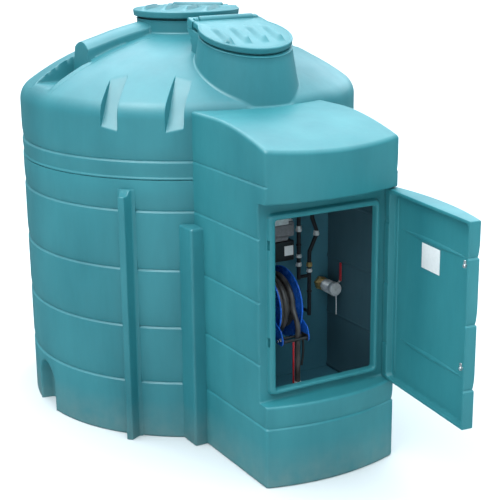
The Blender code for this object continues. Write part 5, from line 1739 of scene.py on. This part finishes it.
def makeLever():
    x, y, z = valve["x"], valve["leverY"], valve["z"]
    rides = body["valve_lever"]
    pivot = lathe([(0.0, 0.0065), (0.0005, 0.0070), (0.0100, 0.0070), (0.0105, 0.0105), (0.0130, 0.0105),
                   (0.0138, 0.0085)], (x + 0.0347, y, z), (1, 0, 0), 6)
    rows = []
    for t, wide, out, lean in ((-0.011, 0.007, 0.0, 0.0), (-0.006, 0.011, 0.0, 0.0),
                               (0.008, 0.0115, 0.0, 0.006), (0.026, 0.0095, 0.0005, 0.028),
                               (0.040, 0.0080, 0.002, 0.040),
                               (0.058, 0.0075, 0.003, 0.044)):
        low, middle = x + 0.0412 + out, y - lean
        rows.append([(low, middle - wide, z + t), (low + 0.0034, middle - wide, z + t),
                     (low + 0.0034, middle + wide, z + t), (low, middle + wide, z + t)])
    plate = piece("valve_lever_plate", *merged([pivot, lofted(rows)]), "aluminium", rides, ("valve_lever",))
    sharpened(plate, 30)
    sleeve = []
    for t, wide, deep in ((0.040, 0.0075, 0.0030), (0.042, 0.0098, 0.0050), (0.052, 0.0108, 0.0056),
                          (0.100, 0.0104, 0.0052), (0.140, 0.0110, 0.0056), (0.148, 0.0100, 0.0048),
                          (0.152, 0.0070, 0.0028)):
        middle, front = x + 0.0462, y - 0.044
        sleeve.append([(middle + deep * math.cos(2 * math.pi * k / 16),
                        front + wide * math.sin(2 * math.pi * k / 16), z + t)
                       for k in range(16)])
    grip = piece("valve_lever_sleeve", *lofted(sleeve), "red_sleeve", rides)
    tidied(grip, 0.00002)


pump = {
    "left": -0.200, "right": 0.012, "front": -1.250, "back": cabinet["bulkheadY"], "low": 1.103,
    "high": 1.218, "ribs": 7, "ribPitch": 0.022, "eyeX": -0.165, "eyeZ": 1.160, "plateX": (-0.054, 0.004),
    "plateZ": (1.134, 1.190),
}
meter = {
    "left": -0.200, "right": 0.020, "front": -1.240, "low": 1.240, "high": 1.325, "faceX": (-0.188, 0.006),
    "faceY": (-1.246, -1.236), "faceZ": (1.252, 1.312), "screwX": (-0.178, -0.004),
    "screwZ": (1.260, 1.304),
}
tray = {
    "left": -0.210, "right": 0.000, "front": -1.255, "low": 1.336, "top": 1.354, "lipY": (-1.258, -1.2515),
    "lipRight": -0.030, "lipLow": 1.318, "endY": (-1.078, -1.0706), "rungs": 6, "rungPitch": 0.037,
    "rungY": (-1.252, -1.074), "rungZ": (1.3405, 1.3475),
}


def makePump():
    p = pump
    parts = [softBox((p["left"], p["front"], p["low"]), (p["right"], p["back"], p["high"]), 0.006)]
    for k in range(p["ribs"]):
        y = p["front"] + 0.020 + k * p["ribPitch"]
        low = (p["right"] - 0.004, y, p["low"] + 0.008)
        high = (p["right"] + 0.006, y + 0.005, p["high"] - 0.010)
        parts.append(softBox(low, high, 0.0015))
    eye = (p["eyeX"], p["front"] + 0.004, p["eyeZ"])
    parts.append(lathe([(0.0, 0.030), (0.008, 0.030), (0.012, 0.026)], eye, (0, -1, 0), 32))
    motor = piece("pump_motor_case", *merged(parts), "black_paint", body["pump_motor"], ("pump_motor",))
    sharpened(motor, 35)
    low = (p["plateX"][0], p["front"] - 0.0022, p["plateZ"][0])
    high = (p["plateX"][1], p["front"] + 0.001, p["plateZ"][1])
    blank = piece("pump_blank_plate", *softBox(low, high, 0.0007), "white_card", body["pump_motor"])
    sharpened(blank, 40)


def makeMeter():
    m = meter
    boxes = [softBox((m["left"], m["front"], m["low"]), (m["right"], pump["back"], m["high"]), 0.009)]
    low, high = ((m["faceX"][k], m["faceY"][k], m["faceZ"][k]) for k in range(2))
    boxes.append(softBox(low, high, 0.004))
    boxes.append(lathe([(0.0, 0.020), (0.170, 0.020), (0.176, 0.015)], (-0.196, -1.226, 1.232),
                       (1, 0, 0.02), 32))
    screw = [(0.0, 0.0042), (0.0022, 0.0042), (0.0030, 0.0030)]
    for x in m["screwX"]:
        for z in m["screwZ"]:
            boxes.append(lathe(screw, (x, m["faceY"][0], z), (0, -1, 0), 16))
    case = piece("meter_box_case", *merged(boxes), "grey_plastic", body["meter_box"], ("meter_box",))
    sharpened(case, 35)


def makeTray():
    t = tray
    parts = [softBox((t["left"], t["front"], t["low"]), (t["right"], pump["back"], t["low"] + 0.005),
                     0.0012)]
    parts.append(softBox((t["left"], t["lipY"][0], t["lipLow"]), (t["lipRight"], t["lipY"][1], t["top"]),
                         0.0012))
    parts.append(softBox((t["left"], t["endY"][0], t["low"]), (t["right"], t["endY"][1], t["top"]), 0.0012))
    for k in range(t["rungs"]):
        x = t["left"] + 0.010 + k * t["rungPitch"]
        parts.append(softBox((x, t["rungY"][0], t["rungZ"][0]), (x + 0.006, t["rungY"][1], t["rungZ"][1]),
                             0.001))
    rail = piece("cable_tray_rail", *merged(parts), "aluminium", body["cable_tray"], ("cable_tray",))
    sharpened(rail, 35)


pipes = {
    "y": -1.190, "back": cabinet["bulkheadY"],
    "riser": ((0.080, 0.960), (0.080, 1.200), (0.080, 1.476), (0.092, 1.488), (0.158, 1.488),
              (0.170, 1.476), (0.170, 1.330), (0.176, 1.300), (0.198, 1.240), (0.200, 1.214),
              (0.160, 1.130), (0.152, 1.100), (0.152, 0.960), (0.152, 0.730)),
    "unions": ((0.080, 1.245, 1.280, "aluminium"), (0.080, 1.090, 1.112, "aluminium"),
               (0.080, 1.038, 1.062, "aluminium"), (0.152, 1.026, 1.052, "brass"),
               (0.152, 0.992, 1.014, "aluminium"), (0.170, 1.340, 1.372, "aluminium"),
               (0.199, 1.206, 1.236, "aluminium")),
}


def makePipes():
    y, back = pipes["y"], pipes["back"]
    line = smoothRoute([(x, y, z) for x, z in pipes["riser"]], 6)
    parts = [tube(line, 0.0118, 16)]
    for start, end, radius in (((0.080, back, 1.440), (0.080, y, 1.440), 0.010),
                               ((0.152, back, 0.750), (0.152, y, 0.750), 0.010),
                               ((0.080, y, 0.972), (0.152, y, 0.972), 0.010)):
        parts.append(tube([start, end], radius, 16))
    for x, z in ((0.080, 1.160), (0.080, 1.360), (0.152, 0.870)):
        parts.append(lathe([(0.0, 0.0135), (0.002, 0.0155), (0.010, 0.0155), (0.012, 0.0135)], (x, y, z),
                           (0, 0, 1), 16))
    for x, z in ((0.080, 1.440), (0.152, 0.750)):
        parts.append(lathe([(0.0, 0.020), (0.004, 0.020), (0.006, 0.016)], (x, back, z), (0, -1, 0), 24))
    black = piece("pipework_tubes", *merged(parts), "black_paint", body["pipework"], ("pipework",))
    sharpened(black, 50)
    for look in ("aluminium", "brass"):
        nuts = []
        for x, low, high, metal in pipes["unions"]:
            if metal == look:
                tall = high - low
                nuts.append(lathe([(0.0, 0.0150), (0.0015, 0.0185), (tall * 0.55, 0.0185),
                                   (tall * 0.55 + 0.001, 0.0150)],
                                  (x, y, low), (0, 0, 1), 6))
                nuts.append(lathe([(tall * 0.5, 0.0150), (tall - 0.003, 0.0160), (tall, 0.0140)],
                                  (x, y, low), (0, 0, 1), 24))
        unions = piece(f"pipework_unions_{look}", *merged(nuts), look, body["pipework"])
        sharpened(unions, 30)


def makeInside():
    makeHoseDrop()
    makeReel()
    makeWinding()
    makeBracket()
    makeHoseGuide()
    makeValve()
    makePump()
    makeMeter()
    makeTray()
    makePipes()
    print("reel, valve, pump and pipes ready")


# run

makeCamera()
makeLight()
makeFloor()
print("camera and light ready")
makeInside()
makeWall()
makePockets()
makeRoof()
makeSides()
print("tank ready")
makeCabinetBody()
makeOpeningRim()
print("cabinet ready")
makeDoor()
makeLatches()
makeFins()
makeButtresses()
print("fins and buttresses ready")
makeManholes()
print("lids ready")
